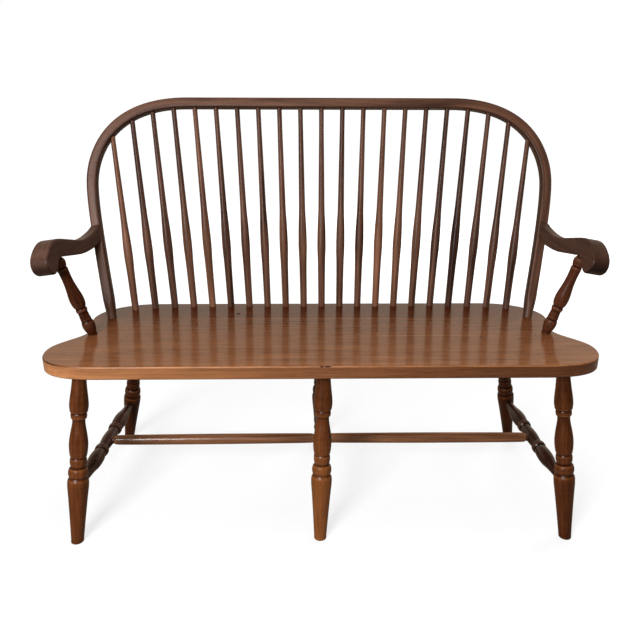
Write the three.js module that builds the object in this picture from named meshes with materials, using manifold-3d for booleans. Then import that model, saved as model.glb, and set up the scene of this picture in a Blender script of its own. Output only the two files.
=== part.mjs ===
// A deacon's bench: a long plank seat on six turned legs, with a bow back of fanned spindles and
// two scroll arms. Millimetres, +Z up, the front of the bench faces -Y and +X is the viewer's right.
// Places are worked out from the middle of the seat's front edge, on the floor below it, and the
// whole bench is moved at the end so that its origin is the middle of its own box, at the floor.
import * as THREE from 'three';
import { mergeVertices } from 'three/addons/utils/BufferGeometryUtils.js';
import Module from 'manifold-3d';

const wasm = await Module();
wasm.setup();

// Fits
const clearance = 0.3; // gap between a tenon and its socket, and between faces that meet
const cutterOverrun = 14; // how far a cutter runs out past the face that it opens

// Seat: three boards edge to edge, with a waist at each end behind the arm posts
const seatHeight = 430;
const seatThickness = 31;
const seatDepth = 398;
const seatHalfLength = 634;
const frontCornerRun = 134;
const waistInset = 69; // from the seat's ends to its waist
const rearLobeSwell = 15; // from the waist out to the lobe behind it
const rearCornerRun = 150;
const seatEdgeRound = 3;
const seatDepthShares = {
  widest: 0.221, waist: 0.54, rearLobe: 0.734, frontGlueLine: 0.4775, rearGlueLine: 0.734,
};
const cornerFullnessShares = {
  front: 0.82, widestForward: 0.5, widestBack: 0.45, waist: 0.4, lobe: 0.4, rearSide: 0.55, rearBack: 0.57,
};
const waistHalfLength = seatHalfLength - waistInset;
const rearLobeHalfLength = waistHalfLength + rearLobeSwell;
const seatWidestSetback = seatDepth * seatDepthShares.widest;
const waistSetback = seatDepth * seatDepthShares.waist;
const rearLobeSetback = seatDepth * seatDepthShares.rearLobe;
const frontGlueLine = seatDepth * seatDepthShares.frontGlueLine;
const rearGlueLine = seatDepth * seatDepthShares.rearGlueLine;

// Bow: half widths are to the middle of the rail, rises are measured up its leaning plane
const bowLeanDegrees = 21.9;
const bowFootInset = 45; // from the seat's rear lobe in to the middle of the foot
const bowFootFromRear = 98.5;
const bowFlare = 49; // from the foot out to the widest place
const bowFlareSlopeShare = 0.17;
const bowWidestRise = 347;
const bowTopRise = 549;
const bowCornerRun = 244;
const bowWidth = 25.4;
const bowThickness = 27.7;
const bowEasedEdge = 4;
const bowFootRadius = 11.6;
const bowFootRounding = 72;
const bowFootNeck = 8; // stays round this far above the seat
const bowTenonDepth = 20;
const bowHandleShares = { cornerTop: 0.853, cornerSide: 0.316, sideUpper: 0.16, sideLower: 0.576 };
const bowFootHalfSpan = rearLobeHalfLength - bowFootInset;
const bowFootSetback = seatDepth - bowFootFromRear;
const bowWidestHalfSpan = bowFootHalfSpan + bowFlare;
const bowTopStraightHalf = bowWidestHalfSpan - bowCornerRun;

// Back spindles: the gaps run from the bow's own middle line to the end spindles'
const spindlesPerSide = 10;
const spindleEndGap = 43.7;
const spindleEndTopGap = 41;
const spindlePitchGrowth = 0.15;
const spindleRowOffset = 3; // the row stands this far to the right of the bench's middle
const spindleRowFromRear = 17;
const spindleRowEndForward = 23;
const spindleRowStraightShare = 0.61;
const spindleSwellRadius = 11.3;
const spindleFootRadius = 8.8;
const spindleTopRadius = 6.2;
const spindleFootTenonDepth = 12;
const spindleTopTenonDepth = 13;
const spindleRowHalf = bowFootHalfSpan - spindleEndGap;
const spindleFootPitch = spindleRowHalf / spindlesPerSide - spindlesPerSide * spindlePitchGrowth;
const spindleTopPitch = (bowWidestHalfSpan - spindleEndTopGap) / spindlesPerSide;
const spindleRowStraightHalf = spindleRowHalf * spindleRowStraightShare;
const spindleRowSetback = seatDepth - spindleRowFromRear;

// Legs: six to one pattern, given by where each meets the seat and how far its foot splays
const legRadius = 24.2;
const rearLegRadius = 23;
const legTenonRadius = 14.7;
const legTenonDepth = 20;
const rearEndLegTenonDepth = 10; // stops short of the outer spindles' sockets above it
const footRadiusShare = 0.595;
const frontLegInset = 88.4; // from the seat's end in to the leg
const rearLegInset = 95; // from the seat's rear lobe in to the leg
const frontLegSetback = 42.6;
const rearLegFromRear = 44;
const middleFrontLegSetback = 47.3;
const frontSideSplay = 28.9;
const rearSideSplay = 78;
const frontSplay = 79.3;
const rearSplay = 78.5;
const middleRearSplay = 81.2;
const middleFrontOffset = 2.3; // the front middle leg stands a little off the middle
const middleFrontDrift = 8.6;
const middleRearOffset = 0.7;
const stretcherHeightShare = 0.329;
const endStretcherInward = 1.6; // bored a little inside the end legs' own middle lines
const frontLegPlace = {
  out: seatHalfLength - frontLegInset,
  setback: frontLegSetback,
  splayOut: frontSideSplay,
  splayBack: -frontSplay,
  stretcherInward: endStretcherInward,
};
const rearLegPlace = {
  out: rearLobeHalfLength - rearLegInset,
  setback: seatDepth - rearLegFromRear,
  splayOut: rearSideSplay,
  splayBack: rearSplay,
  stretcherInward: endStretcherInward,
};
const middleFrontPlace = {
  out: middleFrontOffset,
  setback: middleFrontLegSetback,
  splayOut: -middleFrontDrift,
  splayBack: -frontSplay,
  stretcherInward: 0,
};
const middleRearPlace = {
  out: middleRearOffset,
  setback: seatDepth - rearLegFromRear,
  splayOut: 0,
  splayBack: middleRearSplay,
  stretcherInward: 0,
};

// Cross stretchers, front leg to rear leg, and the long rods between them
const crossRadius = 17.8;
const crossTenonRadius = 8.5;
const crossTenonDepth = 14;
const crossSeatedIn = 1;
const crossMiddleRadius = 16;
const rodRadius = 13.6;
const rodTenonRadius = 9.6;
const rodTenonDepth = 8.5;
const rodSeatedIn = 3.2;
const rodPlaceShare = 0.49;

// Arms: a sawn scroll profile, length along the arm and height across it
const armOutwardDegrees = 10;
const armLength = 264;
const armHeight = 70;
const armFrontWidth = 44;
const armRearWidth = 23;
const armTaperLength = 170;
const armEasedEdge = 3;
const armInnerOffset = 9;

// Arm posts
const postFootForward = 27; // from the seat's waist forward to the post
const postTopAlongShare = 0.722;
const postTopDownShare = -0.105;
const postRadius = 16.8;
const postFootRadius = 10.2;
const postFootTenonDepth = 20;
const postTopRadius = 10;
const postTopTenonDepth = 18;

// What differs from arm to arm: the right one sits higher on the bow, falls more and cants more
const leftArmRise = 217.5; // up the bow to the arm's own level
const leftArmDroopDegrees = 0.7;
const leftArmCantDegrees = 10;
const leftPostFootInset = 12.7; // from the seat's waist in to the post
const leftPostTopAcross = 19.3; // from the arm's inner face out to the post
const rightArmRise = 224.5;
const rightArmDroopDegrees = 2.4;
const rightArmCantDegrees = 12;
const rightPostFootInset = 17.3;
const rightPostTopAcross = 16.7;

// Screws that hold the arms to the bow, under wooden plugs in the bow's back
const screwBelowArm = 10.5; // down the bow from the arm's own level
const screwShankRadius = 2.1;
const screwHeadRadius = 4;
const screwHeadHeight = 3.2;
const screwInArm = 24;
const screwPointLength = 5;
const plugRadius = 5;
const plugLength = 6;

// Number of flat sides on the round pieces
const sides = { leg: 10, spindle: 8, stretcher: 10, rod: 10, post: 10, screw: 8, bow: 8 };

// Turned profiles: share of the visible length from the lower or front end, share of the radius
const legShares = [
  [0.128, 0.727], [0.25, 0.876], [0.334, 0.992], [0.358, 1], [0.375, 0.967], [0.3925, 0.843],
  [0.415, 0.934], [0.444, 0.843], [0.451, 0.7], [0.478, 0.781], [0.508, 0.71], [0.515, 0.769],
  [0.545, 0.847], [0.584, 0.872], [0.623, 0.818], [0.694, 0.636], [0.719, 0.607], [0.731, 0.628],
  [0.7385, 0.752], [0.751, 0.777], [0.768, 0.719], [0.775, 0.802], [0.812, 0.876], [0.8415, 0.851],
  [0.898, 0.74], [0.9445, 0.665], [0.981, 0.628],
];
const spindleShares = [
  [0.081, 0.805], [0.237, 0.894], [0.314, 1], [0.395, 0.945], [0.49, 0.757], [0.643, 0.66],
  [0.92, 0.549],
];
const crossHalfShares = [
  [0.013, 0.478], [0.061, 0.58], [0.129, 0.713], [0.1625, 0.826], [0.196, 0.944], [0.24, 1], [0.275, 0.975],
  [0.322, 0.854], [0.334, 0.787], [0.34, 0.927], [0.352, 0.985], [0.378, 0.91], [0.384, 0.764],
  [0.401, 0.77], [0.5, 0.9],
];
const rodHalfShares = [[0.008, 0.706], [0.013, 0.83], [0.028, 0.91], [0.115, 0.95], [0.5, 1]];
const postShares = [
  [0.02, 0.607], [0.085, 0.827], [0.125, 0.905], [0.165, 0.845], [0.185, 0.732], [0.2, 0.75],
  [0.29, 0.696], [0.31, 0.774], [0.33, 0.815], [0.355, 0.714], [0.37, 0.81], [0.41, 0.964],
  [0.46, 1], [0.52, 0.94], [0.585, 0.833], [0.655, 0.738], [0.725, 0.696], [0.85, 0.756],
  [0.865, 0.643], [0.885, 0.75], [0.93, 0.857], [0.965, 0.786], [0.982, 0.595],
];

// The arm's side outline: share of the arm's length forward of the bow, share of its height
const armOutlineShares = [
  [-0.06, 0.3], [0.0095, 0.221], [0.089, 0.139], [0.208, 0.066], [0.318, 0.067], [0.432, 0.164],
  [0.519, 0.269], [0.597, 0.367], [0.6875, 0.474], [0.754, 0.526], [0.818, 0.51], [0.893, 0.399],
  [0.965, 0.197], [1, -0.043], [0.989, -0.3], [0.936, -0.467], [0.89, -0.457], [0.856, -0.357],
  [0.824, -0.193], [0.756, -0.071], [0.667, -0.14], [0.523, -0.281], [0.413, -0.371],
  [0.297, -0.411], [0.158, -0.4], [0.011, -0.3], [-0.06, -0.24],
];

// Colours of the stained wood, piece by piece
const seatTone = 0x83604a;
const bowTone = 0x6d4e41;
const armTone = 0x4a332b;
const legTone = 0x6a371c;
const postTone = 0x5a3420;
const crossTone = 0x3a241c;
const rodTone = 0x8a5a3c;
const plugTone = 0x5d3b2a;
const steelTone = 0x8d8d8d;
const spindleTones = [0x6b4e43, 0x5c3b2c, 0x74503b, 0x4e3429, 0x6a4737];

const degToRad = THREE.MathUtils.degToRad;
const up = new THREE.Vector3(0, 0, 1);
const seatUnderside = seatHeight - seatThickness;
const bowLean = degToRad(bowLeanDegrees);
const bowHalfWidth = bowWidth / 2;
const bowHalfThickness = bowThickness / 2;

// Geometry helpers

// The geometry as shared corners only, without the slivers that a lathe leaves on its axis
function welded(geometry) {
  const bare = geometry.clone();
  bare.deleteAttribute('normal');
  bare.deleteAttribute('uv');
  const merged = mergeVertices(bare);
  const corners = merged.index.array;
  const kept = [];
  for (let k = 0; k < corners.length; k += 3) {
    const [a, b, c] = [corners[k], corners[k + 1], corners[k + 2]];
    if (a !== b && b !== c && c !== a) kept.push(a, b, c);
  }
  merged.setIndex(kept);
  return merged;
}

function solidOf(geometry) {
  const merged = welded(geometry);
  return new wasm.Manifold(new wasm.Mesh({
    numProp: 3,
    vertProperties: new Float32Array(merged.attributes.position.array),
    triVerts: new Uint32Array(merged.index.array),
  }));
}

function geometryOf(solid) {
  const mesh = solid.getMesh();
  const indexed = new THREE.BufferGeometry();
  indexed.setAttribute('position', new THREE.BufferAttribute(new Float32Array(mesh.vertProperties), 3));
  indexed.setIndex(Array.from(mesh.triVerts));
  const geometry = indexed.toNonIndexed();
  geometry.computeVertexNormals();
  return geometry;
}

function cut(geometry, cutters) {
  const remaining = cutters.reduce((solid, cutter) => solid.subtract(solidOf(cutter)), solidOf(geometry));
  return geometryOf(remaining);
}

// A frame at one point whose +Z runs to another
function frameAlong(from, to) {
  const direction = to.clone().sub(from).normalize();
  const turn = new THREE.Quaternion().setFromUnitVectors(up, direction);
  return new THREE.Matrix4().compose(from, turn, new THREE.Vector3(1, 1, 1));
}

// A round body about +Z through [distance, radius] stations, closed on its axis at both ends
function turnedBody(stations, sideCount) {
  const first = stations[0][0];
  const last = stations[stations.length - 1][0];
  const closed = [[first, 0], ...stations, [last, 0]];
  const outline = closed.map(([along, radius]) => new THREE.Vector2(radius, along));
  return new THREE.LatheGeometry(outline, sideCount).rotateX(Math.PI / 2);
}

// The socket for a round tenon, as a cutter in the tenon's own frame
function socketBody(mouth, depth, radius, sideCount) {
  const inward = Math.sign(depth);
  const ends = [mouth + depth + inward * clearance, mouth - inward * cutterOverrun].sort((a, b) => a - b);
  return turnedBody(ends.map((along) => [along, radius + clearance]), sideCount);
}

// A closed body through a row of rings, each a list of as many points, with flat ends
function loft(rings) {
  const count = rings[0].length;
  const positions = rings.flat().flatMap((point) => [point.x, point.y, point.z]);
  const triangles = [];
  for (let ring = 0; ring < rings.length - 1; ring += 1) {
    for (let k = 0; k < count; k += 1) {
      const [a, b] = [ring * count + k, ring * count + (k + 1) % count];
      triangles.push(a, b, b + count, a, b + count, a + count);
    }
  }
  const lastRing = (rings.length - 1) * count;
  for (let k = 1; k < count - 1; k += 1) {
    triangles.push(0, k + 1, k, lastRing, lastRing + k, lastRing + k + 1);
  }
  const geometry = new THREE.BufferGeometry();
  geometry.setAttribute('position', new THREE.Float32BufferAttribute(positions, 3));
  geometry.setIndex(triangles);
  geometry.computeVertexNormals();
  return geometry;
}

const bench = new THREE.Group();

// Adds a piece: geometry in its own frame, that frame, and cutters given in the bench's frame
function addPiece(name, geometry, tone, frame = new THREE.Matrix4(), cutters = [], metalness = 0) {
  const toOwnFrame = frame.clone().invert();
  const ownCutters = cutters.map((cutter) => cutter.clone().applyMatrix4(toOwnFrame));
  const material = new THREE.MeshStandardMaterial({ color: tone, roughness: 0.45, metalness });
  const mesh = new THREE.Mesh(cut(geometry, ownCutters), material);
  mesh.name = name;
  mesh.applyMatrix4(frame);
  bench.add(mesh);
}

// A turned piece between two shoulders, with a round tenon at each end
function turning({ from, to, shares, radius, start, end, sideCount }) {
  const frame = frameAlong(from, to);
  const length = from.distanceTo(to);
  const stations = [
    [-start.depth, start.radius],
    [0, start.radius],
    ...shares.map(([place, size]) => [place * length, size * radius]),
    [length, end.radius],
    [length + end.depth, end.radius],
  ];
  const startSocket = socketBody(0, -start.depth, start.radius, sideCount).applyMatrix4(frame);
  const endSocket = socketBody(length, end.depth, end.radius, sideCount).applyMatrix4(frame);
  return { frame, body: turnedBody(stations, sideCount), startSocket, endSocket };
}

// Shares given for one half, run back to the far end as its mirror
function mirroredShares(halfShares) {
  const back = halfShares.slice(0, -1).reverse().map(([place, size]) => [1 - place, size]);
  return [...halfShares, ...back];
}

// Legs

function makeLeg(name, place, side, radius, tenonDepth) {
  const top = new THREE.Vector3(side * place.out, place.setback, seatUnderside);
  const foot = new THREE.Vector3(side * (place.out + place.splayOut), place.setback + place.splayBack, 0);
  const turned = turning({
    from: foot,
    to: top,
    shares: legShares,
    radius,
    start: { radius: footRadiusShare * radius, depth: cutterOverrun },
    end: { radius: legTenonRadius, depth: tenonDepth },
    sideCount: sides.leg,
  });
  const joint = foot.clone().lerp(top, stretcherHeightShare);
  joint.x -= side * place.stretcherInward;
  return { name, turned, joint, radius, sockets: [] };
}

const legs = {
  frontLeft: makeLeg('leg_front_left', frontLegPlace, -1, legRadius, legTenonDepth),
  frontMiddle: makeLeg('leg_front_middle', middleFrontPlace, 1, legRadius, legTenonDepth),
  frontRight: makeLeg('leg_front_right', frontLegPlace, 1, legRadius, legTenonDepth),
  rearLeft: makeLeg('leg_rear_left', rearLegPlace, -1, rearLegRadius, rearEndLegTenonDepth),
  rearMiddle: makeLeg('leg_rear_middle', middleRearPlace, 1, rearLegRadius, legTenonDepth),
  rearRight: makeLeg('leg_rear_right', rearLegPlace, 1, rearLegRadius, rearEndLegTenonDepth),
};

// Everything below the floor, which cuts the feet level
function floorCutter() {
  const reach = 2 * legRadius + cutterOverrun;
  const length = 2 * (seatHalfLength + reach);
  const depth = seatDepth + 2 * (reach + rearSplay);
  return new THREE.BoxGeometry(length, depth, reach).translate(0, seatDepth / 2, -reach / 2);
}

// Stretchers

function makeCross(name, frontLeg, rearLeg) {
  const along = rearLeg.joint.clone().sub(frontLeg.joint).normalize();
  const frontMouth = frontLeg.radius - crossSeatedIn;
  const rearMouth = rearLeg.radius - crossSeatedIn;
  const turned = turning({
    from: frontLeg.joint.clone().addScaledVector(along, frontMouth),
    to: rearLeg.joint.clone().addScaledVector(along, -rearMouth),
    shares: mirroredShares(crossHalfShares),
    radius: crossRadius,
    start: { radius: crossTenonRadius, depth: crossTenonDepth },
    end: { radius: crossTenonRadius, depth: crossTenonDepth },
    sideCount: sides.stretcher,
  });
  frontLeg.sockets.push(turned.startSocket);
  rearLeg.sockets.push(turned.endSocket);
  const joint = frontLeg.joint.clone().lerp(rearLeg.joint, rodPlaceShare);
  return { name, turned, joint, sockets: [] };
}

const crosses = {
  left: makeCross('cross_stretcher_left', legs.frontLeft, legs.rearLeft),
  middle: makeCross('cross_stretcher_middle', legs.frontMiddle, legs.rearMiddle),
  right: makeCross('cross_stretcher_right', legs.frontRight, legs.rearRight),
};

function makeRod(name, fromCross, toCross) {
  const along = toCross.joint.clone().sub(fromCross.joint).normalize();
  const seated = crossMiddleRadius - rodSeatedIn;
  const turned = turning({
    from: fromCross.joint.clone().addScaledVector(along, seated),
    to: toCross.joint.clone().addScaledVector(along, -seated),
    shares: mirroredShares(rodHalfShares),
    radius: rodRadius,
    start: { radius: rodTenonRadius, depth: rodTenonDepth },
    end: { radius: rodTenonRadius, depth: rodTenonDepth },
    sideCount: sides.rod,
  });
  fromCross.sockets.push(turned.startSocket);
  toCross.sockets.push(turned.endSocket);
  return { name, turned };
}

const rods = [
  makeRod('long_stretcher_left', crosses.left, crosses.middle),
  makeRod('long_stretcher_right', crosses.middle, crosses.right),
];

// Bow

// A point of the bow's leaning plane: across the bench, up the plane, and forward of it
function bowPoint(across, rise, forward) {
  return new THREE.Vector3(
    across,
    bowFootSetback + rise * Math.sin(bowLean) - forward * Math.cos(bowLean),
    seatHeight + rise * Math.cos(bowLean) + forward * Math.sin(bowLean),
  );
}

// The right half of the bow's middle line, from its foot up to the middle of the top
function bowHalfLine() {
  const cornerRun = bowWidestHalfSpan - bowTopStraightHalf;
  const cornerDrop = bowTopRise - bowWidestRise;
  const lowerHandle = bowWidestRise * bowHandleShares.sideLower;
  const foot = new THREE.Vector2(bowFootHalfSpan, 0);
  const widest = new THREE.Vector2(bowWidestHalfSpan, bowWidestRise);
  const shoulder = new THREE.Vector2(bowTopStraightHalf, bowTopRise);
  const side = new THREE.CubicBezierCurve(
    foot,
    new THREE.Vector2(bowFootHalfSpan + bowFlareSlopeShare * lowerHandle, lowerHandle),
    new THREE.Vector2(bowWidestHalfSpan, bowWidestRise * (1 - bowHandleShares.sideUpper)),
    widest,
  );
  const corner = new THREE.CubicBezierCurve(
    widest,
    new THREE.Vector2(bowWidestHalfSpan, bowWidestRise + cornerDrop * bowHandleShares.cornerSide),
    new THREE.Vector2(bowTopStraightHalf + cornerRun * bowHandleShares.cornerTop, bowTopRise),
    shoulder,
  );
  const top = new THREE.LineCurve(shoulder, new THREE.Vector2(0, bowTopRise));
  return { side, corner, top };
}

// Stations of the whole middle line from the left foot to the right foot
function bowStations() {
  const { side, corner, top } = bowHalfLine();
  const steps = [[side, 9], [corner, 13], [top, 1]];
  const right = [];
  for (const [curve, count] of steps) {
    for (let k = right.length === 0 ? 0 : 1; k <= count; k += 1) {
      right.push({ place: curve.getPoint(k / count), heading: curve.getTangent(k / count) });
    }
  }
  const left = right.map(({ place, heading }) => ({
    place: new THREE.Vector2(-place.x, place.y),
    heading: new THREE.Vector2(-heading.x, heading.y),
  }));
  const backDown = right.slice(0, -1).reverse().map(({ place, heading }) => ({
    place,
    heading: heading.clone().negate(),
  }));
  return [...left, ...backDown];
}

// One section of the bow, from round (blend 0) at a foot to an eased rectangle (blend 1)
function bowRing(station, blend, roundRadius) {
  const outward = new THREE.Vector2(-station.heading.y, station.heading.x);
  const [w, t, e] = [bowHalfWidth, bowHalfThickness, bowEasedEdge];
  const frontCorners = [[w, t - e], [w - e, t], [e - w, t], [-w, t - e]];
  const corners = [...frontCorners, ...frontCorners.map(([out, forward]) => [-out, -forward])];
  return corners.map(([out, forward], k) => {
    const angle = (k + 0.5) / corners.length * 2 * Math.PI;
    const x = THREE.MathUtils.lerp(roundRadius * Math.cos(angle), out, blend);
    const y = THREE.MathUtils.lerp(roundRadius * Math.sin(angle), forward, blend);
    return bowPoint(station.place.x + outward.x * x, station.place.y + outward.y * x, y);
  });
}

function alongHeading(station, distance) {
  const place = station.place.clone().addScaledVector(station.heading, distance);
  return { heading: station.heading, place };
}

function bowBody(stations) {
  const first = stations[0];
  const last = stations[stations.length - 1];
  const rings = stations.map((station) => {
    const fromFeet = [first, last].map((foot) => station.place.distanceTo(foot.place));
    const blend = THREE.MathUtils.smoothstep(Math.min(...fromFeet), 0, bowFootRounding);
    return bowRing(station, blend, bowFootRadius);
  });
  rings.splice(1, 0, bowRing(alongHeading(first, bowFootNeck), 0, bowFootRadius));
  rings.splice(-1, 0, bowRing(alongHeading(last, -bowFootNeck), 0, bowFootRadius));
  rings.unshift(bowRing(alongHeading(first, -bowTenonDepth), 0, bowFootRadius));
  rings.push(bowRing(alongHeading(last, bowTenonDepth), 0, bowFootRadius));
  return loft(rings);
}

function bowFootSocket(station, intoSeat) {
  const ends = [intoSeat * (bowTenonDepth + clearance), -intoSeat * cutterOverrun].sort((a, b) => a - b);
  const radius = bowFootRadius + clearance;
  return loft(ends.map((distance) => bowRing(alongHeading(station, distance), 0, radius)));
}

const bowLine = bowStations();
const bowFootSockets = [bowFootSocket(bowLine[0], -1), bowFootSocket(bowLine[bowLine.length - 1], 1)];

// Half width of the bow's middle line at a rise on its side, found by halving
function bowHalfSpanAt(rise) {
  const { side } = bowHalfLine();
  let [low, high] = [0, 1];
  for (let k = 0; k < 40; k += 1) {
    const middle = (low + high) / 2;
    if (side.getPoint(middle).y < rise) low = middle;
    else high = middle;
  }
  return side.getPoint(low).x;
}

// Spindles

function spindleFoot(index) {
  const steps = Math.abs(index);
  const out = steps * (spindleFootPitch + spindlePitchGrowth * steps);
  const pastStraight = Math.max(0, out - spindleRowStraightHalf) / (spindleRowHalf - spindleRowStraightHalf);
  const setback = spindleRowSetback - spindleRowEndForward * pastStraight ** 2;
  return new THREE.Vector3(spindleRowOffset + Math.sign(index) * out, setback, seatHeight);
}

// Where a spindle's line, fanned in the bow's plane, meets the inner face of the bow
function spindleMouth(index) {
  const line = bowLine.map((station) => station.place);
  const foot = spindleFoot(index).x;
  const innerTop = bowTopRise - bowHalfWidth;
  const top = spindleRowOffset + index * spindleTopPitch;
  const placeAt = (rise) => new THREE.Vector2(foot + (top - foot) * rise / innerTop, rise);
  const gapTo = (point) => Math.min(...line.slice(1).map((next, k) => {
    const run = next.clone().sub(line[k]);
    const share = THREE.MathUtils.clamp(point.clone().sub(line[k]).dot(run) / run.lengthSq(), 0, 1);
    return point.distanceTo(line[k].clone().addScaledVector(run, share));
  }));
  let rise = bowWidestRise;
  for (let k = 0; k < 60; k += 1) rise += gapTo(placeAt(rise)) - bowHalfWidth;
  const mouth = placeAt(rise);
  return bowPoint(mouth.x, mouth.y, 0);
}

function makeSpindle(index) {
  const number = String(index + spindlesPerSide + 1).padStart(2, '0');
  const turned = turning({
    from: spindleFoot(index),
    to: spindleMouth(index),
    shares: spindleShares,
    radius: spindleSwellRadius,
    start: { radius: spindleFootRadius, depth: spindleFootTenonDepth },
    end: { radius: spindleTopRadius, depth: spindleTopTenonDepth },
    sideCount: sides.spindle,
  });
  const tone = spindleTones[(index + spindlesPerSide) % spindleTones.length];
  return { name: `spindle_${number}`, turned, tone };
}

const spindles = [];
for (let index = -spindlesPerSide; index <= spindlesPerSide; index += 1) spindles.push(makeSpindle(index));

// Arms

// Frame of an arm: +X forward along it, +Y up its canted side, origin on the bow's front face
function armFrame({ side, rise, droopDegrees, cantDegrees }) {
  const outwardTurn = degToRad(armOutwardDegrees);
  const cant = degToRad(cantDegrees);
  const level = new THREE.Vector3(side * Math.sin(outwardTurn), -Math.cos(outwardTurn), 0);
  const outward = new THREE.Vector3(side * Math.cos(outwardTurn), Math.sin(outwardTurn), 0);
  const canted = up.clone().multiplyScalar(Math.cos(cant)).addScaledVector(outward, Math.sin(cant));
  const across = level.clone().cross(canted);
  const droop = degToRad(droopDegrees);
  const forward = level.clone().applyAxisAngle(across, -droop);
  const upward = canted.clone().applyAxisAngle(across, -droop);
  const innerSpan = bowHalfSpanAt(rise) - armInnerOffset;
  const origin = bowPoint(side * innerSpan, rise, bowHalfThickness);
  return new THREE.Matrix4().makeBasis(forward, upward, across).setPosition(origin);
}

// The arm's blank: its inner face is flat, and its outer face draws in towards the bow
function armBody(side) {
  const outline = armOutlineShares.map(
    ([along, high]) => new THREE.Vector2(along * armLength, high * armHeight),
  );
  const shape = new THREE.Shape().moveTo(outline[0].x, outline[0].y).splineThru(outline.slice(1));
  const geometry = new THREE.ExtrudeGeometry(shape, {
    depth: armFrontWidth - 2 * armEasedEdge,
    bevelThickness: armEasedEdge,
    bevelSize: armEasedEdge,
    bevelOffset: -armEasedEdge,
    bevelSegments: 1,
    curveSegments: 2,
  }).translate(0, 0, armEasedEdge);
  const place = geometry.attributes.position;
  for (let k = 0; k < place.count; k += 1) {
    const grown = THREE.MathUtils.smoothstep(place.getX(k), 0, armTaperLength);
    const share = THREE.MathUtils.lerp(armRearWidth / armFrontWidth, 1, grown);
    const fromInner = side < 0 ? place.getZ(k) : place.getZ(k) - armFrontWidth;
    place.setZ(k, fromInner * share);
  }
  return geometry;
}

// Everything behind the bow's front face, less the clearance
function bowFaceCutter({ side, rise }) {
  const reach = armHeight + armFrontWidth;
  const centre = bowPoint(
    side * bowFootHalfSpan,
    rise,
    bowHalfThickness + clearance - reach / 2,
  );
  const box = new THREE.BoxGeometry(2 * reach, reach, 2 * reach);
  return box.rotateX(-bowLean).translate(centre.x, centre.y, centre.z);
}

function makePost({ word, side, postFootInset, postTopAcross }, frame) {
  const outward = side < 0 ? 1 : -1;
  const top = new THREE.Vector3(
    postTopAlongShare * armLength,
    postTopDownShare * armHeight,
    outward * postTopAcross,
  );
  const footOut = side * (waistHalfLength - postFootInset);
  const turned = turning({
    from: new THREE.Vector3(footOut, waistSetback - postFootForward, seatHeight),
    to: top.applyMatrix4(frame),
    shares: postShares,
    radius: postRadius,
    start: { radius: postFootRadius, depth: postFootTenonDepth },
    end: { radius: postTopRadius, depth: postTopTenonDepth },
    sideCount: sides.post,
  });
  return { name: `arm_post_${word}`, turned };
}

// A screw through the bow into the arm, its plug, and the holes that they need
function makeScrew({ side, rise }) {
  const screwRise = rise - screwBelowArm;
  const span = bowHalfSpanAt(screwRise);
  const back = bowPoint(side * span, screwRise, -bowHalfThickness);
  const frame = frameAlong(back, bowPoint(side * span, screwRise, bowHalfThickness));
  const headBack = plugLength + clearance;
  const headFront = headBack + screwHeadHeight;
  const tip = bowThickness + screwInArm;
  const screw = turnedBody([
    [headBack, screwHeadRadius],
    [headFront, screwShankRadius],
    [tip - screwPointLength, screwShankRadius],
    [tip, screwShankRadius / 4],
  ], sides.screw);
  const plug = turnedBody([[0, plugRadius], [plugLength, plugRadius]], sides.screw);
  const counterbore = turnedBody([
    [-cutterOverrun, plugRadius + clearance],
    [headFront + clearance, plugRadius + clearance],
  ], sides.screw).applyMatrix4(frame);
  const pilot = turnedBody([
    [headBack, screwShankRadius + clearance],
    [tip + clearance, screwShankRadius + clearance],
  ], sides.screw).applyMatrix4(frame);
  return { frame, screw, plug, counterbore, pilot };
}

const armPlaces = [
  {
    word: 'left',
    side: -1,
    rise: leftArmRise,
    droopDegrees: leftArmDroopDegrees,
    cantDegrees: leftArmCantDegrees,
    postFootInset: leftPostFootInset,
    postTopAcross: leftPostTopAcross,
  },
  {
    word: 'right',
    side: 1,
    rise: rightArmRise,
    droopDegrees: rightArmDroopDegrees,
    cantDegrees: rightArmCantDegrees,
    postFootInset: rightPostFootInset,
    postTopAcross: rightPostTopAcross,
  },
];
const armSides = armPlaces.map((place) => {
  const frame = armFrame(place);
  const post = makePost(place, frame);
  return { ...place, frame, post, screw: makeScrew(place), faceCutter: bowFaceCutter(place) };
});

// Seat

function seatOutline() {
  const full = cornerFullnessShares;
  const frontEnd = seatHalfLength - frontCornerRun;
  const rearEnd = rearLobeHalfLength - rearCornerRun;
  const backRun = waistSetback - seatWidestSetback;
  const lobeRun = rearLobeSetback - waistSetback;
  const rearRun = seatDepth - rearLobeSetback;
  // Each row: first handle, second handle and end of one curve of the right half
  const rightHalf = [
    [[frontEnd + frontCornerRun * full.front, 0],
      [seatHalfLength, seatWidestSetback * (1 - full.widestForward)],
      [seatHalfLength, seatWidestSetback]],
    [[seatHalfLength, seatWidestSetback + backRun * full.widestBack],
      [waistHalfLength, waistSetback - backRun * full.waist],
      [waistHalfLength, waistSetback]],
    [[waistHalfLength, waistSetback + lobeRun * full.lobe],
      [rearLobeHalfLength, rearLobeSetback - lobeRun * full.lobe],
      [rearLobeHalfLength, rearLobeSetback]],
    [[rearLobeHalfLength, rearLobeSetback + rearRun * full.rearSide],
      [rearEnd + rearCornerRun * full.rearBack, seatDepth],
      [rearEnd, seatDepth]],
  ];
  const shape = new THREE.Shape().moveTo(-frontEnd, 0).lineTo(frontEnd, 0);
  for (const curve of rightHalf) shape.bezierCurveTo(...curve.flat());
  shape.lineTo(-rearEnd, seatDepth);
  const starts = [[frontEnd, 0], ...rightHalf.map((curve) => curve[2])];
  for (let k = rightHalf.length - 1; k >= 0; k -= 1) {
    const [first, second] = rightHalf[k];
    shape.bezierCurveTo(-second[0], second[1], -first[0], first[1], -starts[k][0], starts[k][1]);
  }
  return shape;
}

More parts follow.
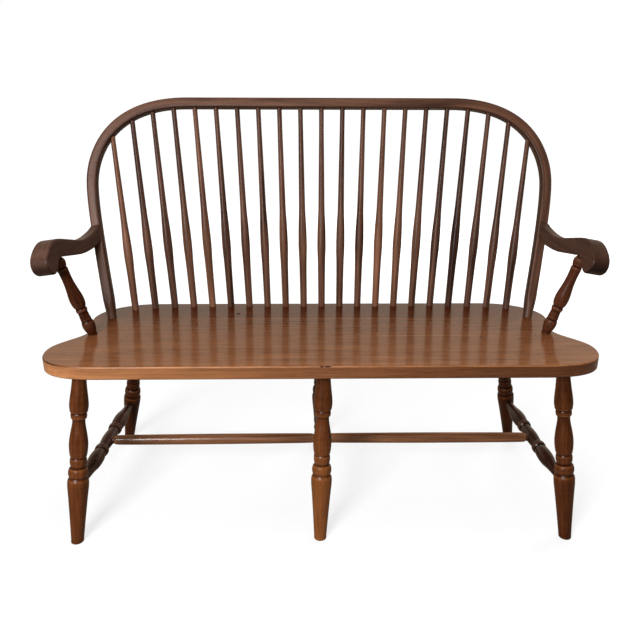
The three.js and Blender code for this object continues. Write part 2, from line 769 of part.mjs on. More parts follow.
function seatSlab() {
  return new THREE.ExtrudeGeometry(seatOutline(), {
    depth: seatThickness - 2 * seatEdgeRound,
    bevelThickness: seatEdgeRound,
    bevelSize: seatEdgeRound,
    bevelOffset: -seatEdgeRound,
    bevelSegments: 1,
    curveSegments: 6,
  }).translate(0, 0, seatUnderside + seatEdgeRound);
}

// One board: the part of the slab between two setbacks, each edge held back by half a clearance
function addSeatBoard(name, fromSetback, toSetback, sockets) {
  const [front, rear] = [fromSetback + clearance / 2, toSetback - clearance / 2];
  const length = 2 * seatHalfLength + 2 * cutterOverrun;
  const blank = new THREE.BoxGeometry(length, rear - front, seatThickness + 2 * cutterOverrun)
    .translate(0, (front + rear) / 2, (seatUnderside + seatHeight) / 2);
  const board = geometryOf(solidOf(seatSlab()).intersect(solidOf(blank)));
  addPiece(name, board, seatTone, new THREE.Matrix4(), sockets);
}

const seatSockets = [
  ...Object.values(legs).map((leg) => leg.turned.endSocket),
  ...spindles.map((spindle) => spindle.turned.startSocket),
  ...armSides.map((arm) => arm.post.turned.startSocket),
  ...bowFootSockets,
];

addSeatBoard('seat_board_front', -cutterOverrun, frontGlueLine, seatSockets);
addSeatBoard('seat_board_middle', frontGlueLine, rearGlueLine, seatSockets);
addSeatBoard('seat_board_rear', rearGlueLine, seatDepth + cutterOverrun, seatSockets);

for (const leg of Object.values(legs)) {
  addPiece(leg.name, leg.turned.body, legTone, leg.turned.frame, [...leg.sockets, floorCutter()]);
}
for (const cross of Object.values(crosses)) {
  const rodSockets = cross.sockets;
  addPiece(cross.name, cross.turned.body, crossTone, cross.turned.frame, rodSockets);
}
for (const rod of rods) addPiece(rod.name, rod.turned.body, rodTone, rod.turned.frame);

addPiece('bow', bowBody(bowLine), bowTone, new THREE.Matrix4(), [
  ...spindles.map((spindle) => spindle.turned.endSocket),
  ...armSides.flatMap((arm) => [arm.screw.counterbore, arm.screw.pilot]),
]);
for (const spindle of spindles) {
  addPiece(spindle.name, spindle.turned.body, spindle.tone, spindle.turned.frame);
}
for (const arm of armSides) {
  const cutters = [arm.faceCutter, arm.post.turned.endSocket, arm.screw.pilot];
  addPiece(`arm_${arm.word}`, armBody(arm.side), armTone, arm.frame, cutters);
  addPiece(arm.post.name, arm.post.turned.body, postTone, arm.post.turned.frame);
  addPiece(`arm_screw_${arm.word}`, arm.screw.screw, steelTone, arm.screw.frame, [], 1);
  addPiece(`screw_plug_${arm.word}`, arm.screw.plug, plugTone, arm.screw.frame);
}

// The origin: the middle of the bench's own box, on the floor
bench.updateMatrixWorld(true);
const box = new THREE.Box3().setFromObject(bench, true);
bench.position.set(-(box.min.x + box.max.x) / 2, -(box.min.y + box.max.y) / 2, -box.min.z);

export default bench;
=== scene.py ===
"""The looks of a deacon's bench: turned, bent and sawn wood under a brown satin lacquer.

Sizes are millimetres, measured from the middle of the seat's front edge on the floor, with X along
the bench, Y towards its back and Z up. Datum turns them into the frame's metres.
"""
import logging
import math
from contextlib import contextmanager
from dataclasses import dataclass, field
from enum import Enum
from typing import Callable, Iterator, Sequence

import bmesh
import bpy
from mathutils import Matrix, Vector


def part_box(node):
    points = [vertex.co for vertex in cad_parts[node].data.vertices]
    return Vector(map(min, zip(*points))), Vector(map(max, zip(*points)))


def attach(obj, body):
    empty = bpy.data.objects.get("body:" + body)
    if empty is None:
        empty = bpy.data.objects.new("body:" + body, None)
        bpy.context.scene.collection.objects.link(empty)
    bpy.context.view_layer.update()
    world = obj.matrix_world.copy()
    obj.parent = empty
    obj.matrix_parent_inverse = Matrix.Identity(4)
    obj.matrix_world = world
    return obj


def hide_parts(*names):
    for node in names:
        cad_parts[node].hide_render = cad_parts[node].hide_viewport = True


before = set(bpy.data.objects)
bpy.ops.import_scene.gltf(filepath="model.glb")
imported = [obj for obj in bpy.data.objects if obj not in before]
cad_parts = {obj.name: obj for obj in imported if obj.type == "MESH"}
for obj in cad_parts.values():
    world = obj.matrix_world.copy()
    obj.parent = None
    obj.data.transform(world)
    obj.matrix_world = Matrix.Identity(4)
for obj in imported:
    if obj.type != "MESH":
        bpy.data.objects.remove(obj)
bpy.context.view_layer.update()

LOG = logging.getLogger("deacons_bench")
MM = 0.001
UP = Vector((0.0, 0.0, 1.0))
WHITE = (1, 1, 1, 1)
NOISE_MEAN = 0.5
Pair = tuple[float, float]
Triple = tuple[float, float, float]
Colour = tuple[float, float, float, float]
Socket = bpy.types.NodeSocket


def clamp(value: float, low: float = 0.0, high: float = 1.0) -> float:
    """A value held between two limits."""
    return min(high, max(low, value))


@dataclass(frozen=True)
class Ramp:
    """A straight rise from 0 to 1 between two places."""

    start: float
    end: float

    def at(self, place: float) -> float:
        """How far the rise has come at a place."""
        return clamp((place - self.start) / (self.end - self.start))


# Shader graph


class Wire:
    """A number socket of a shader. Arithmetic on it adds Math nodes to its graph."""

    def __init__(self, graph: "Graph", socket: Socket) -> None:
        """Keep the graph and the output socket that this wire leaves from."""
        self.graph = graph
        self.socket = socket

    def _math(self, operation: str, first: "Wire | float", second: "Wire | float") -> "Wire":
        """The result of one Math node on two numbers."""
        node = self.graph.add("ShaderNodeMath", {"operation": operation}, {0: first, 1: second})
        return Wire(self.graph, node.outputs[0])

    def __add__(self, other: "Wire | float") -> "Wire":
        """Sum of two numbers."""
        return self._math("ADD", self, other)

    def __radd__(self, other: float) -> "Wire":
        """Sum of two numbers."""
        return self._math("ADD", other, self)

    def __sub__(self, other: "Wire | float") -> "Wire":
        """Difference of two numbers."""
        return self._math("SUBTRACT", self, other)

    def __rsub__(self, other: float) -> "Wire":
        """Difference of two numbers."""
        return self._math("SUBTRACT", other, self)

    def __mul__(self, other: "Wire | float") -> "Wire":
        """Product of two numbers."""
        return self._math("MULTIPLY", self, other)

    def __rmul__(self, other: float) -> "Wire":
        """Product of two numbers."""
        return self._math("MULTIPLY", other, self)

    def above(self, threshold: float, softness: float) -> "Wire":
        """Rise from 0 to 1 as the number passes a threshold.

        Args:
            threshold: Where the rise is half done.
            softness: Width of the rise.

        Returns:
            The clamped ramp.
        """
        ramp = self.graph.add(
            "ShaderNodeMapRange",
            {"clamp": True, "interpolation_type": "SMOOTHSTEP"},
            {0: self, 1: threshold - softness / 2, 2: threshold + softness / 2, 3: 0.0, 4: 1.0},
        )
        return Wire(self.graph, ramp.outputs[0])

    def clamped(self) -> "Wire":
        """The number held between 0 and 1."""
        node = self.graph.add("ShaderNodeClamp", {}, {0: self})
        return Wire(self.graph, node.outputs[0])


@dataclass(frozen=True)
class Noise:
    """A cloudy pattern: how often it changes in a metre along each coordinate, and how finely."""

    scale: Triple
    detail: float
    roughness: float


class Graph:
    """The node tree of one material or of the world, built node by node."""

    def __init__(self, owner: bpy.types.Material | bpy.types.World) -> None:
        """Empty the owner's tree.

        Args:
            owner: The material or the world that the nodes are for.
        """
        owner.use_nodes = True
        self.tree = owner.node_tree
        self.tree.nodes.clear()

    def add(self, kind: str, settings: dict[str, object], inputs: dict[int | str, object]) -> bpy.types.Node:
        """Add a node.

        Args:
            kind: The node's type name.
            settings: Properties of the node, set before its sockets.
            inputs: Values, wires or sockets for its input sockets, by name or number.

        Returns:
            The new node.
        """
        node = self.tree.nodes.new(kind)
        for key, value in settings.items():
            setattr(node, key, value)
        for key, value in inputs.items():
            if isinstance(value, Wire):
                self.tree.links.new(value.socket, node.inputs[key])
            elif isinstance(value, Socket):
                self.tree.links.new(value, node.inputs[key])
            else:
                node.inputs[key].default_value = value
        return node

    def scaled(self, vector: Socket, scale: Sequence[float], shift: Sequence[float] = (0, 0, 0)) -> Socket:
        """Coordinates stretched by a factor along each axis, then moved."""
        inputs = {"Vector": vector, "Scale": scale, "Location": shift}
        return self.add("ShaderNodeMapping", {"vector_type": "POINT"}, inputs).outputs["Vector"]

    def noise(self, vector: Socket, noise: Noise) -> Wire:
        """A cloudy pattern between 0 and 1 on coordinates.

        Args:
            vector: The coordinates, in metres.
            noise: The pattern's scale and detail.

        Returns:
            The pattern.
        """
        inputs = {"Vector": self.scaled(vector, noise.scale), "Scale": 1.0, "Detail": noise.detail,
                  "Roughness": noise.roughness}
        return Wire(self, self.add("ShaderNodeTexNoise", {}, inputs).outputs[0])

    def mix(self, factor: Wire | float, first: Colour | Socket, second: Colour | Socket) -> Socket:
        """Blend two colours by a factor."""
        node = self.add("ShaderNodeMix", {"data_type": "RGBA"}, {0: factor, 6: first, 7: second})
        return node.outputs[2]

    def tinted(self, factor: Wire | float, colour: Colour | Socket, tint: Colour) -> Socket:
        """Multiply a colour by a tint, as far as a factor says."""
        settings = {"data_type": "RGBA", "blend_type": "MULTIPLY"}
        return self.add("ShaderNodeMix", settings, {0: factor, 6: colour, 7: tint}).outputs[2]

    def attribute(self, name: str, output: str = "Fac") -> Socket:
        """What a piece carries on its vertices under a name."""
        return self.add("ShaderNodeAttribute", {"attribute_name": name}, {}).outputs[output]

    def coordinates(self, kind: str = "Object") -> Socket:
        """Coordinates of one kind."""
        return self.add("ShaderNodeTexCoord", {}, {}).outputs[kind]

    def length(self, vector: Socket) -> Wire:
        """Length of a vector."""
        node = self.add("ShaderNodeVectorMath", {"operation": "LENGTH"}, {0: vector})
        return Wire(self, node.outputs["Value"])

    def surface(self, shader: bpy.types.Node) -> None:
        """Make a shader the surface of the material."""
        self.add("ShaderNodeOutputMaterial", {}, {"Surface": shader.outputs[0]})


def linear(value: int) -> float:
    """One channel of 0 to 255, taken off the curve of the sRGB standard."""
    share = value / 255
    return share / 12.92 if share <= 0.04045 else ((share + 0.055) / 1.055) ** 2.4


def srgb(red: int, green: int, blue: int) -> Colour:
    """Turn a screen colour of 0 to 255 into the linear colour that a shader takes."""
    return linear(red), linear(green), linear(blue), 1.0


# Finishes


@dataclass(frozen=True)
class Rings:
    """Growth rings: the way to their pith in metres, and how close they are."""

    pith: Triple
    pitch: float


class Figure(Enum):
    """How the growth rings lie in a piece."""

    PLANK = Rings((0.09, 0.045, 0.0), 42.0)
    BILLET = Rings((0.011, 0.006, 0.0), 75.0)


@dataclass(frozen=True)
class Spot:
    """A mark in the wood, such as a nick, a speck or a glue line, in millimetres from the datum.

    A strength above 0 makes it pale, and one below 0 dark.
    """

    place: Triple
    reach: Triple
    strength: float


@dataclass(frozen=True)
class Shares:
    """How much each part of the wood's pattern adds to a number."""

    fibre: float
    streak: float
    cloud: float
    pores: float

    def of(self, fibre: Wire, streak: Wire, cloud: Wire, pores: Wire) -> Wire:
        """The sum of the parts."""
        return fibre * self.fibre + streak * self.streak + pores * self.pores + cloud * self.cloud


@dataclass(frozen=True)
class WoodPattern:
    """The patterns of the wood that all its finishes share, and how they show."""

    fibre: Noise = Noise((330, 330, 14), 4.0, 0.66)
    streak: Noise = Noise((150, 150, 5), 3.0, 0.55)
    cloud: Noise = Noise((15, 15, 4.5), 2.0, 0.5)
    pores: Noise = Noise((1500, 1500, 85), 2.0, 0.6)
    pore_edge: Pair = (0.63, 0.08)
    lathe: Noise = Noise((12, 12, 420), 3.0, 0.7)
    mean: float = 0.45
    relief: Shares = Shares(0.35, 0.25, 0.6, -0.9)
    relief_strength: float = 0.35
    relief_depth: float = 0.00024
    dulling: Shares = Shares(0.14, 0.0, 0.1, 0.16)
    wear_dulling: float = 0.2
    pore_stain: float = 0.5
    pore_tint: Colour = (0.42, 0.34, 0.32, 1)
    # Dark tint for dark joints and stain gathered in grooves, also used to paint shade in the grooves and
    # along the seat's bottom edge.
    grime_and_shade: float = 0.9
    grime_and_shade_tint: Colour = (0.2, 0.13, 0.1, 1)
    # How far worn wood and painted highlights mix towards the crest colour.
    rubbed_and_highlight: float = 0.35
    spot_edge: Pair = (0.8, 0.5)
    spot_tint: Colour = (0.12, 0.05, 0.03, 1)
    spot_dulling: float = 0.8
    ring_stretch: Triple = (1, 1, 0.12)
    ring_distortion: float = 5.5
    ring_detail: float = 2.5
    ring_detail_scale: float = 0.35
    ring_detail_roughness: float = 0.55


WOOD = WoodPattern()


@dataclass(frozen=True)
class WoodFinish:
    """A stain under satin lacquer, on wood whose fibres run along the third grain coordinate."""

    name: str
    slot: str
    dark: Colour
    light: Colour
    # The pale colour that higher tones, painted highlights and pale marks mix towards.
    crest: Colour
    figure: Figure = Figure.BILLET
    fibres: float = 0.7
    streaks: float = 1.1
    rings: float = 0.2
    clouds: float = 0.6
    turning: float = 0.0
    roughness: float = 0.36
    specular: float = 0.2
    tone_strength: float = 0.5
    # Tint of lower tones, which on some pieces are painted shade.
    deep: Colour = (0.3, 0.26, 0.26, 1)
    spots: tuple[Spot, ...] = ()

    def material(self) -> bpy.types.Material:
        """Build the finish.

        Returns:
            The material, which reads a piece's grain and tone attributes and its attribute of worn edges and
            painted light and shade.
        """
        material = bpy.data.materials.new(self.name)
        graph = Graph(material)
        grain = graph.attribute("grain", "Vector")
        # The second attribute holds worn edges, dirt and dark joints, and also painted highlights and painted
        # shade.
        wear_and_shading, tone = (Wire(graph, graph.attribute(name)) for name in ("wear_and_shading", "tone"))
        fibre = graph.noise(grain, WOOD.fibre) - NOISE_MEAN
        streak = graph.noise(grain, WOOD.streak) - NOISE_MEAN
        cloud = graph.noise(grain, WOOD.cloud) - NOISE_MEAN
        pores = graph.noise(grain, WOOD.pores).above(*WOOD.pore_edge)
        rings = self._rings(graph, grain) - NOISE_MEAN
        figure = fibre * self.fibres + streak * self.streaks + rings * self.rings + cloud * self.clouds
        figure = figure + WOOD.mean
        height = WOOD.relief.of(fibre, streak, cloud, pores)
        if self.turning:
            lathe = graph.noise(grain, WOOD.lathe) - NOISE_MEAN
            figure = figure + lathe * self.turning
            height = height + lathe * self.turning
        colour = graph.mix(figure.clamped(), self.dark, self.light)
        # Lower tones tint towards the deep colour: random tone, and in places painted shade, as on the seat's
        # top, the bow, the arm scrolls and the rear legs.
        colour = graph.tinted((tone * -self.tone_strength).clamped(), colour, self.deep)
        # Higher tones mix towards the crest colour: random tone, and on the seat's rim the painted light of
        # its left end.
        colour = graph.mix((tone * (self.tone_strength + streak)).clamped(), colour, self.crest)
        colour = graph.tinted((pores * WOOD.pore_stain).clamped(), colour, WOOD.pore_tint)
        # Below 0 the attribute darkens: dark joints and gathered stain, and painted shade in grooves and
        # along the seat's bottom edge.
        colour = graph.tinted((wear_and_shading * -WOOD.grime_and_shade).clamped(), colour, WOOD.grime_and_shade_tint)
        # Above 0 the attribute lightens: a painted highlight on bead crests and along the seat's top edge,
        # partly worn wood there.
        colour = graph.mix((wear_and_shading * (WOOD.rubbed_and_highlight + fibre)).clamped(), colour, self.crest)
        colour, torn = self._spotted(graph, colour)
        rough = self.roughness + WOOD.dulling.of(fibre, streak, cloud, pores)
        rough = rough + (wear_and_shading * WOOD.wear_dulling).clamped() + torn
        inputs = {"Strength": WOOD.relief_strength, "Distance": WOOD.relief_depth, "Height": height}
        bump = graph.add("ShaderNodeBump", {}, inputs)
        inputs = {"Base Color": colour, "Roughness": rough.clamped(), "Specular IOR Level": self.specular,
                  "Normal": bump.outputs[0]}
        graph.surface(graph.add("ShaderNodeBsdfPrincipled", {}, inputs))
        return material

    def _spotted(self, graph: Graph, colour: Socket) -> tuple[Socket, Wire | float]:
        """Lay the finish's marks over a colour.

        Args:
            graph: Graph of the material.
            colour: The colour so far.

        Returns:
            The marked colour, and the roughness that the dark marks add.
        """
        torn = 0.0
        if not self.spots:
            return colour, torn
        place = graph.coordinates()
        for spot in self.spots:
            scale = [1 / (reach * MM) for reach in spot.reach]
            local = graph.scaled(place, scale, [-c * k for c, k in zip(DATUM.at(*spot.place), scale)])
            mask = (1 - graph.length(local).above(*WOOD.spot_edge)) * abs(spot.strength)
            if spot.strength < 0:
                colour = graph.tinted(mask, colour, WOOD.spot_tint)
                torn = mask * WOOD.spot_dulling + torn
            else:
                colour = graph.mix(mask, colour, self.crest)
        return colour, torn

    def _rings(self, graph: Graph, grain: Socket) -> Wire:
        """Growth rings about a pith that lies outside the piece.

        Args:
            graph: Graph of the material.
            grain: Grain coordinates.

        Returns:
            Ring pattern between 0 and 1.
        """
        rings = self.figure.value
        node = graph.add(
            "ShaderNodeTexWave",
            {"wave_type": "RINGS", "rings_direction": "Z", "wave_profile": "SAW"},
            {
                "Vector": graph.scaled(grain, WOOD.ring_stretch, rings.pith),
                "Scale": rings.pitch,
                "Distortion": WOOD.ring_distortion,
                "Detail": WOOD.ring_detail,
                "Detail Scale": WOOD.ring_detail_scale,
                "Detail Roughness": WOOD.ring_detail_roughness,
            },
        )
        return Wire(graph, node.outputs["Fac"])


@dataclass(frozen=True)
class SteelFinish:
    """Zinc-plated steel of the hidden screws."""

    name: str = "screw_steel"
    dark: Colour = srgb(122, 122, 120)
    light: Colour = srgb(176, 174, 168)
    brushing: Noise = Noise((2500, 2500, 2500), 3.0, 0.5)
    roughness: float = 0.3
    brushed: float = 0.2

    def material(self) -> bpy.types.Material:
        """Build the finish, brushed by the turning of the screw.

        Returns:
            The material.
        """
        material = bpy.data.materials.new(self.name)
        graph = Graph(material)
        brushed = graph.noise(graph.coordinates(), self.brushing)
        colour = graph.mix(brushed, self.dark, self.light)
        inputs = {"Base Color": colour, "Metallic": 1.0, "Roughness": self.roughness + brushed * self.brushed}
        graph.surface(graph.add("ShaderNodeBsdfPrincipled", {}, inputs))
        return material


SEAT_SPOTS = (
    Spot((292, 172, 430), (240, 3.2, 4), 0.2),
    Spot((-60, 286, 430), (380, 3.0, 4), 0.14),
    Spot((-3.5, 1.2, 429.2), (4.5, 2.6, 2.2), -1.0),
    Spot((9.5, 1.2, 429.2), (9.5, 2.6, 2.2), -1.0),
    Spot((-214, 321, 430), (6.5, 6, 3), -0.85),
    Spot((382, 161, 430), (3.5, 7, 3), -0.65),
    Spot((394, 164, 430), (3, 6, 3), -0.55),
)

FINISHES = {finish.slot: finish for finish in (
    WoodFinish(
        "seat_lacquer", "seat", srgb(86, 48, 24), srgb(163, 104, 64), srgb(204, 138, 88), Figure.PLANK,
        fibres=1.1, streaks=0.65, clouds=0.3, roughness=0.12, specular=0.5, spots=SEAT_SPOTS,
        tone_strength=0.58, deep=(0.25, 0.11, 0.03, 1),
    ),
    WoodFinish(
        "bow_lacquer", "bow", srgb(60, 38, 29), srgb(118, 80, 61), srgb(156, 118, 96), roughness=0.4,
        specular=0.18, streaks=1.9, spots=(Spot((-545, 311, 458), (2.2, 6, 2.2), -0.8),),
    ),
    WoodFinish(
        "spindle_lacquer", "spindles", srgb(34, 19, 15), srgb(118, 81, 63), srgb(170, 112, 80), streaks=1.5,
        clouds=0.9, roughness=0.28, specular=0.1,
    ),
    WoodFinish(
        "arm_lacquer", "arms", srgb(48, 30, 23), srgb(96, 66, 53), srgb(128, 98, 82), specular=0.16,
        streaks=0.9, deep=(0.1, 0.08, 0.08, 1),
    ),
    WoodFinish(
        "post_lacquer", "arm_posts", srgb(32, 13, 6), srgb(92, 45, 23), srgb(150, 98, 72), roughness=0.26,
        specular=0.11, streaks=1.3, turning=0.4,
    ),
    WoodFinish(
        "leg_lacquer", "legs", srgb(46, 20, 8), srgb(120, 65, 31), srgb(196, 122, 66), roughness=0.22,
        specular=0.17, streaks=0.9, clouds=0.9, turning=0.45, deep=(0.3, 0.17, 0.1, 1),
    ),
    WoodFinish(
        "cross_stretcher_lacquer", "cross_stretchers", srgb(18, 8, 5), srgb(68, 35, 24), srgb(138, 94, 74),
        roughness=0.22, specular=0.26, turning=0.3,
    ),
    WoodFinish(
        "long_stretcher_lacquer", "long_stretchers", srgb(62, 34, 21), srgb(148, 98, 66), srgb(200, 150, 110),
        roughness=0.2, specular=0.34, streaks=1.4,
    ),
    WoodFinish("plug_lacquer", "plugs", srgb(58, 30, 20), srgb(110, 70, 48), srgb(150, 110, 80)),
)}


# Hand work


@dataclass(frozen=True)
class Datum:
    """The middle of the seat's front edge in the frame, in metres."""

    middle: float
    front: float

    def at(self, out: float, back: float, up: float) -> Vector:
        """Turn a place in millimetres into the frame's metres."""
        return Vector((out * MM + self.middle, back * MM + self.front, up * MM))


SEAT_FRONT_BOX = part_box("seat_board_front")
DATUM = Datum((SEAT_FRONT_BOX[0][0] + SEAT_FRONT_BOX[1][0]) / 2, SEAT_FRONT_BOX[0][1])


class Shop:
    """The hand operations that every piece is made with."""

    @staticmethod
    def clear() -> None:
        """Leave edit mode and deselect everything."""
        if bpy.context.mode != "OBJECT":
            bpy.ops.object.mode_set(mode="OBJECT")
        bpy.ops.object.select_all(action="DESELECT")

    @staticmethod
    def take(piece: bpy.types.Object) -> None:
        """Make one piece the only selected and active one.

        Args:
            piece: The piece to take.
        """
        Shop.clear()
        piece.select_set(True)
        bpy.context.view_layer.objects.active = piece

    @staticmethod
    @contextmanager
    def edit(piece: bpy.types.Object) -> Iterator[None]:
        """Open a piece's mesh with all of it selected, and close it afterwards.

        Args:
            piece: The piece to edit.

        Returns:
            The context in which the mesh is open.
        """
        Shop.take(piece)
        bpy.ops.object.mode_set(mode="EDIT")
        bpy.ops.mesh.select_all(action="SELECT")
        yield
        bpy.ops.object.mode_set(mode="OBJECT")

    @staticmethod
    def pick_edges(piece: bpy.types.Object, wanted: Callable[[bmesh.types.BMEdge], bool]) -> None:
        """Select some edges of the open mesh, and nothing else.

        Args:
            piece: The piece that is open.
            wanted: Says whether an edge is one of them.
        """
        bpy.ops.mesh.select_mode(type="EDGE")
        bpy.ops.mesh.select_all(action="DESELECT")
        sketch = bmesh.from_edit_mesh(piece.data)
        for edge in sketch.edges:
            edge.select_set(wanted(edge))
        bmesh.update_edit_mesh(piece.data)

    @staticmethod
    def extrude(height: float) -> None:
        """Draw the selected faces up by a height in millimetres."""
        bpy.ops.mesh.extrude_region_move(TRANSFORM_OT_translate={"value": (0, 0, height * MM)})

    @staticmethod
    def started(name: str, scale: Triple = (1, 1, 1)) -> bpy.types.Object:
        """Make the primitive that was just added the start of a piece.

        Args:
            name: Name of the piece.
            scale: How much it is stretched along each axis.

        Returns:
            The piece, with its place and scale in its mesh.
        """
        piece = bpy.context.active_object
        piece.name = name
        piece.data.name = name
        piece.scale = scale
        bpy.ops.object.transform_apply(location=True, rotation=True, scale=True)
        return piece

    @staticmethod
    def disc(name: str, sides: int, radius: float, height: float = 0.0) -> bpy.types.Object:
        """Add a filled circle, the first section of a piece.

        Args:
            name: Name of the piece.
            sides: Number of corners.
            radius: Radius in millimetres.
            height: Height of the disc in millimetres.

        Returns:
            The new object, in object mode, at the origin.
        """
        Shop.clear()
        bpy.ops.mesh.primitive_circle_add(
            vertices=sides, radius=radius * MM, fill_type="NGON", location=(0, 0, height * MM)
        )
        return Shop.started(name)

    @staticmethod
    def turn(name: str, rings: Sequence[Pair], sides: int) -> bpy.types.Object:
        """Turn a piece about +Z by extruding and scaling one section after another.

        Args:
            name: Name of the piece.
            rings: Height and radius of each section, in millimetres, from the bottom up.
            sides: Number of sides.

        Returns:
            The closed, smooth piece.
        """
        piece = Shop.disc(name, sides, rings[0][1], rings[0][0])
        with Shop.edit(piece):
            for (low, before), (high, radius) in zip(rings, rings[1:]):
                Shop.extrude(high - low)
                share = radius / before
                bpy.ops.transform.resize(value=(share, share, 1), center_override=(0, 0, high * MM))
        Shop.close(piece)
        return piece

    @staticmethod
    def close(piece: bpy.types.Object, angle: float = 38.0) -> None:
        """Face a piece outwards and shade it smooth up to an angle.

        Args:
            piece: The piece to finish.
            angle: Largest angle in degrees that is shaded smooth.
        """
        with Shop.edit(piece):
            bpy.ops.mesh.normals_make_consistent(inside=False)
        bpy.ops.object.shade_smooth_by_angle(angle=math.radians(angle))

    @staticmethod
    def slab(
        name: str, outline: Sequence[Pair], thickness: float, ease: float, steps: int
    ) -> bpy.types.Object:
        """Saw a flat blank to an outline and ease both its rims.

        Args:
            name: Name of the piece.
            outline: Corners of the outline in millimetres, in order.
            thickness: Thickness along +Z in millimetres.
            ease: Size of the eased edge in millimetres.
            steps: Steps of the eased edge.

        Returns:
            The blank, standing on Z 0.
        """
        piece = Shop.disc(name, len(outline), thickness)
        for vertex, (x, y) in zip(piece.data.vertices, outline):
            vertex.co = (x * MM, y * MM, 0)
        level = thickness * MM / 2
        with Shop.edit(piece):
            Shop.extrude(thickness)
            Shop.pick_edges(piece, lambda edge: abs(edge.verts[0].co.z - edge.verts[1].co.z) < level)
            bpy.ops.mesh.bevel(offset=ease * MM, segments=steps, affect="EDGES", clamp_overlap=False)
            bpy.ops.mesh.select_mode(type="VERT")
        return piece

    @staticmethod
    def saw(piece: bpy.types.Object, place: Vector, towards: Vector, ease: float = 0.0) -> None:
        """Cut away what lies on one side of a plane and close the cut.

        Args:
            piece: The piece to cut.
            place: A point of the plane, in metres.
            towards: Normal of the plane, towards the waste.
            ease: Size of an eased edge round the cut, in millimetres, or 0.
        """
        with Shop.edit(piece):
            square = towards.normalized()
            bpy.ops.mesh.bisect(plane_co=place, plane_no=square, use_fill=True, clear_outer=True)
            if ease:
                bpy.ops.mesh.select_mode(type="EDGE")
                bpy.ops.mesh.bevel(offset=ease * MM, segments=2, affect="EDGES", clamp_overlap=True)
                bpy.ops.mesh.select_mode(type="VERT")

    @staticmethod
    def score(piece: bpy.types.Object, length: float, cuts: int) -> None:
        """Cut edges across a piece, square to X, so that its flat sides can be drawn in.

        Args:
            piece: The piece to score.
            length: Length that is scored, from X 0, in millimetres.
            cuts: Number of equal parts.
        """
        with Shop.edit(piece):
            for cut in range(cuts + 1):
                bpy.ops.mesh.select_all(action="SELECT")
                bpy.ops.mesh.bisect(plane_co=(length * cut / cuts * MM, 0, 0), plane_no=(1, 0, 0))

    @staticmethod
    def flatten_shading(piece: bpy.types.Object) -> None:
        """Let the large faces keep their own direction where they meet an eased edge.

        Args:
            piece: The piece to shade.
        """
        Shop.take(piece)
        modifier = piece.modifiers.new("large faces first", "WEIGHTED_NORMAL")
        modifier.mode = "FACE_AREA"
        modifier.weight = 100
        modifier.keep_sharp = True
        bpy.ops.object.modifier_apply(modifier=modifier.name)

    @staticmethod
    def copy(piece: bpy.types.Object, name: str) -> bpy.types.Object:
        """Copy a piece, mesh and all.

        Args:
            piece: The piece to copy.
            name: Name of the copy.

        Returns:
            The copy.
        """
        twin = piece.copy()
        twin.data = piece.data.copy()
        twin.name = name
        twin.data.name = name
        bpy.context.scene.collection.objects.link(twin)
        return twin

    @staticmethod
    def discard(piece: bpy.types.Object) -> None:
        """Delete a pattern that was only copied.

        Args:
            piece: The pattern.
        """
        mesh = piece.data
        bpy.data.objects.remove(piece)
        bpy.data.meshes.remove(mesh)

    @staticmethod
    def mark(piece: bpy.types.Object, **layers: Callable[[Vector], float | Vector]) -> None:
        """Write numbers or vectors on each vertex.

        Args:
            piece: The piece to write on.
            layers: For each attribute, what gives its value at a vertex's place.
        """
        for name, value_at in layers.items():
            values = [value_at(vertex.co) for vertex in piece.data.vertices]
            if isinstance(values[0], Vector):
                layer = piece.data.attributes.new(name, "FLOAT_VECTOR", "POINT")
                layer.data.foreach_set("vector", [part for value in values for part in value])
            else:
                layer = piece.data.attributes.new(name, "FLOAT", "POINT")
                layer.data.foreach_set("value", values)


def standing(foot: Vector, top: Vector, length: float) -> Matrix:
    """The placing of a piece modelled upright, from one point to another.

    Args:
        foot: Where the piece's own zero goes, in metres.
        top: Where the piece's own length ends, in metres.
        length: That length as modelled, in millimetres.

    Returns:
        A matrix that turns, stretches along the length, and moves.
    """
    run = top - foot
    turn = UP.rotation_difference(run.normalized()).to_matrix().to_4x4()
    stretch = Matrix.Diagonal((1, 1, run.length / (length * MM), 1))
    return Matrix.Translation(foot) @ turn @ stretch


def bezier(start: Pair, first: Pair, second: Pair, end: Pair, steps: int) -> list[Pair]:
    """Draw a cubic curve.

    Args:
        start: Where it starts.
        first: Its first handle.
        second: Its second handle.
        end: Where it ends.
        steps: Number of its points.

    Returns:
        Its points, without the start.
    """
    points = []
    for step in range(1, steps + 1):
        t = step / steps
        weights = ((1 - t) ** 3, 3 * t * (1 - t) ** 2, 3 * t * t * (1 - t), t ** 3)
        corners = (start, first, second, end)
        points.append(tuple(sum(w * c[axis] for w, c in zip(weights, corners)) for axis in (0, 1)))
    return points


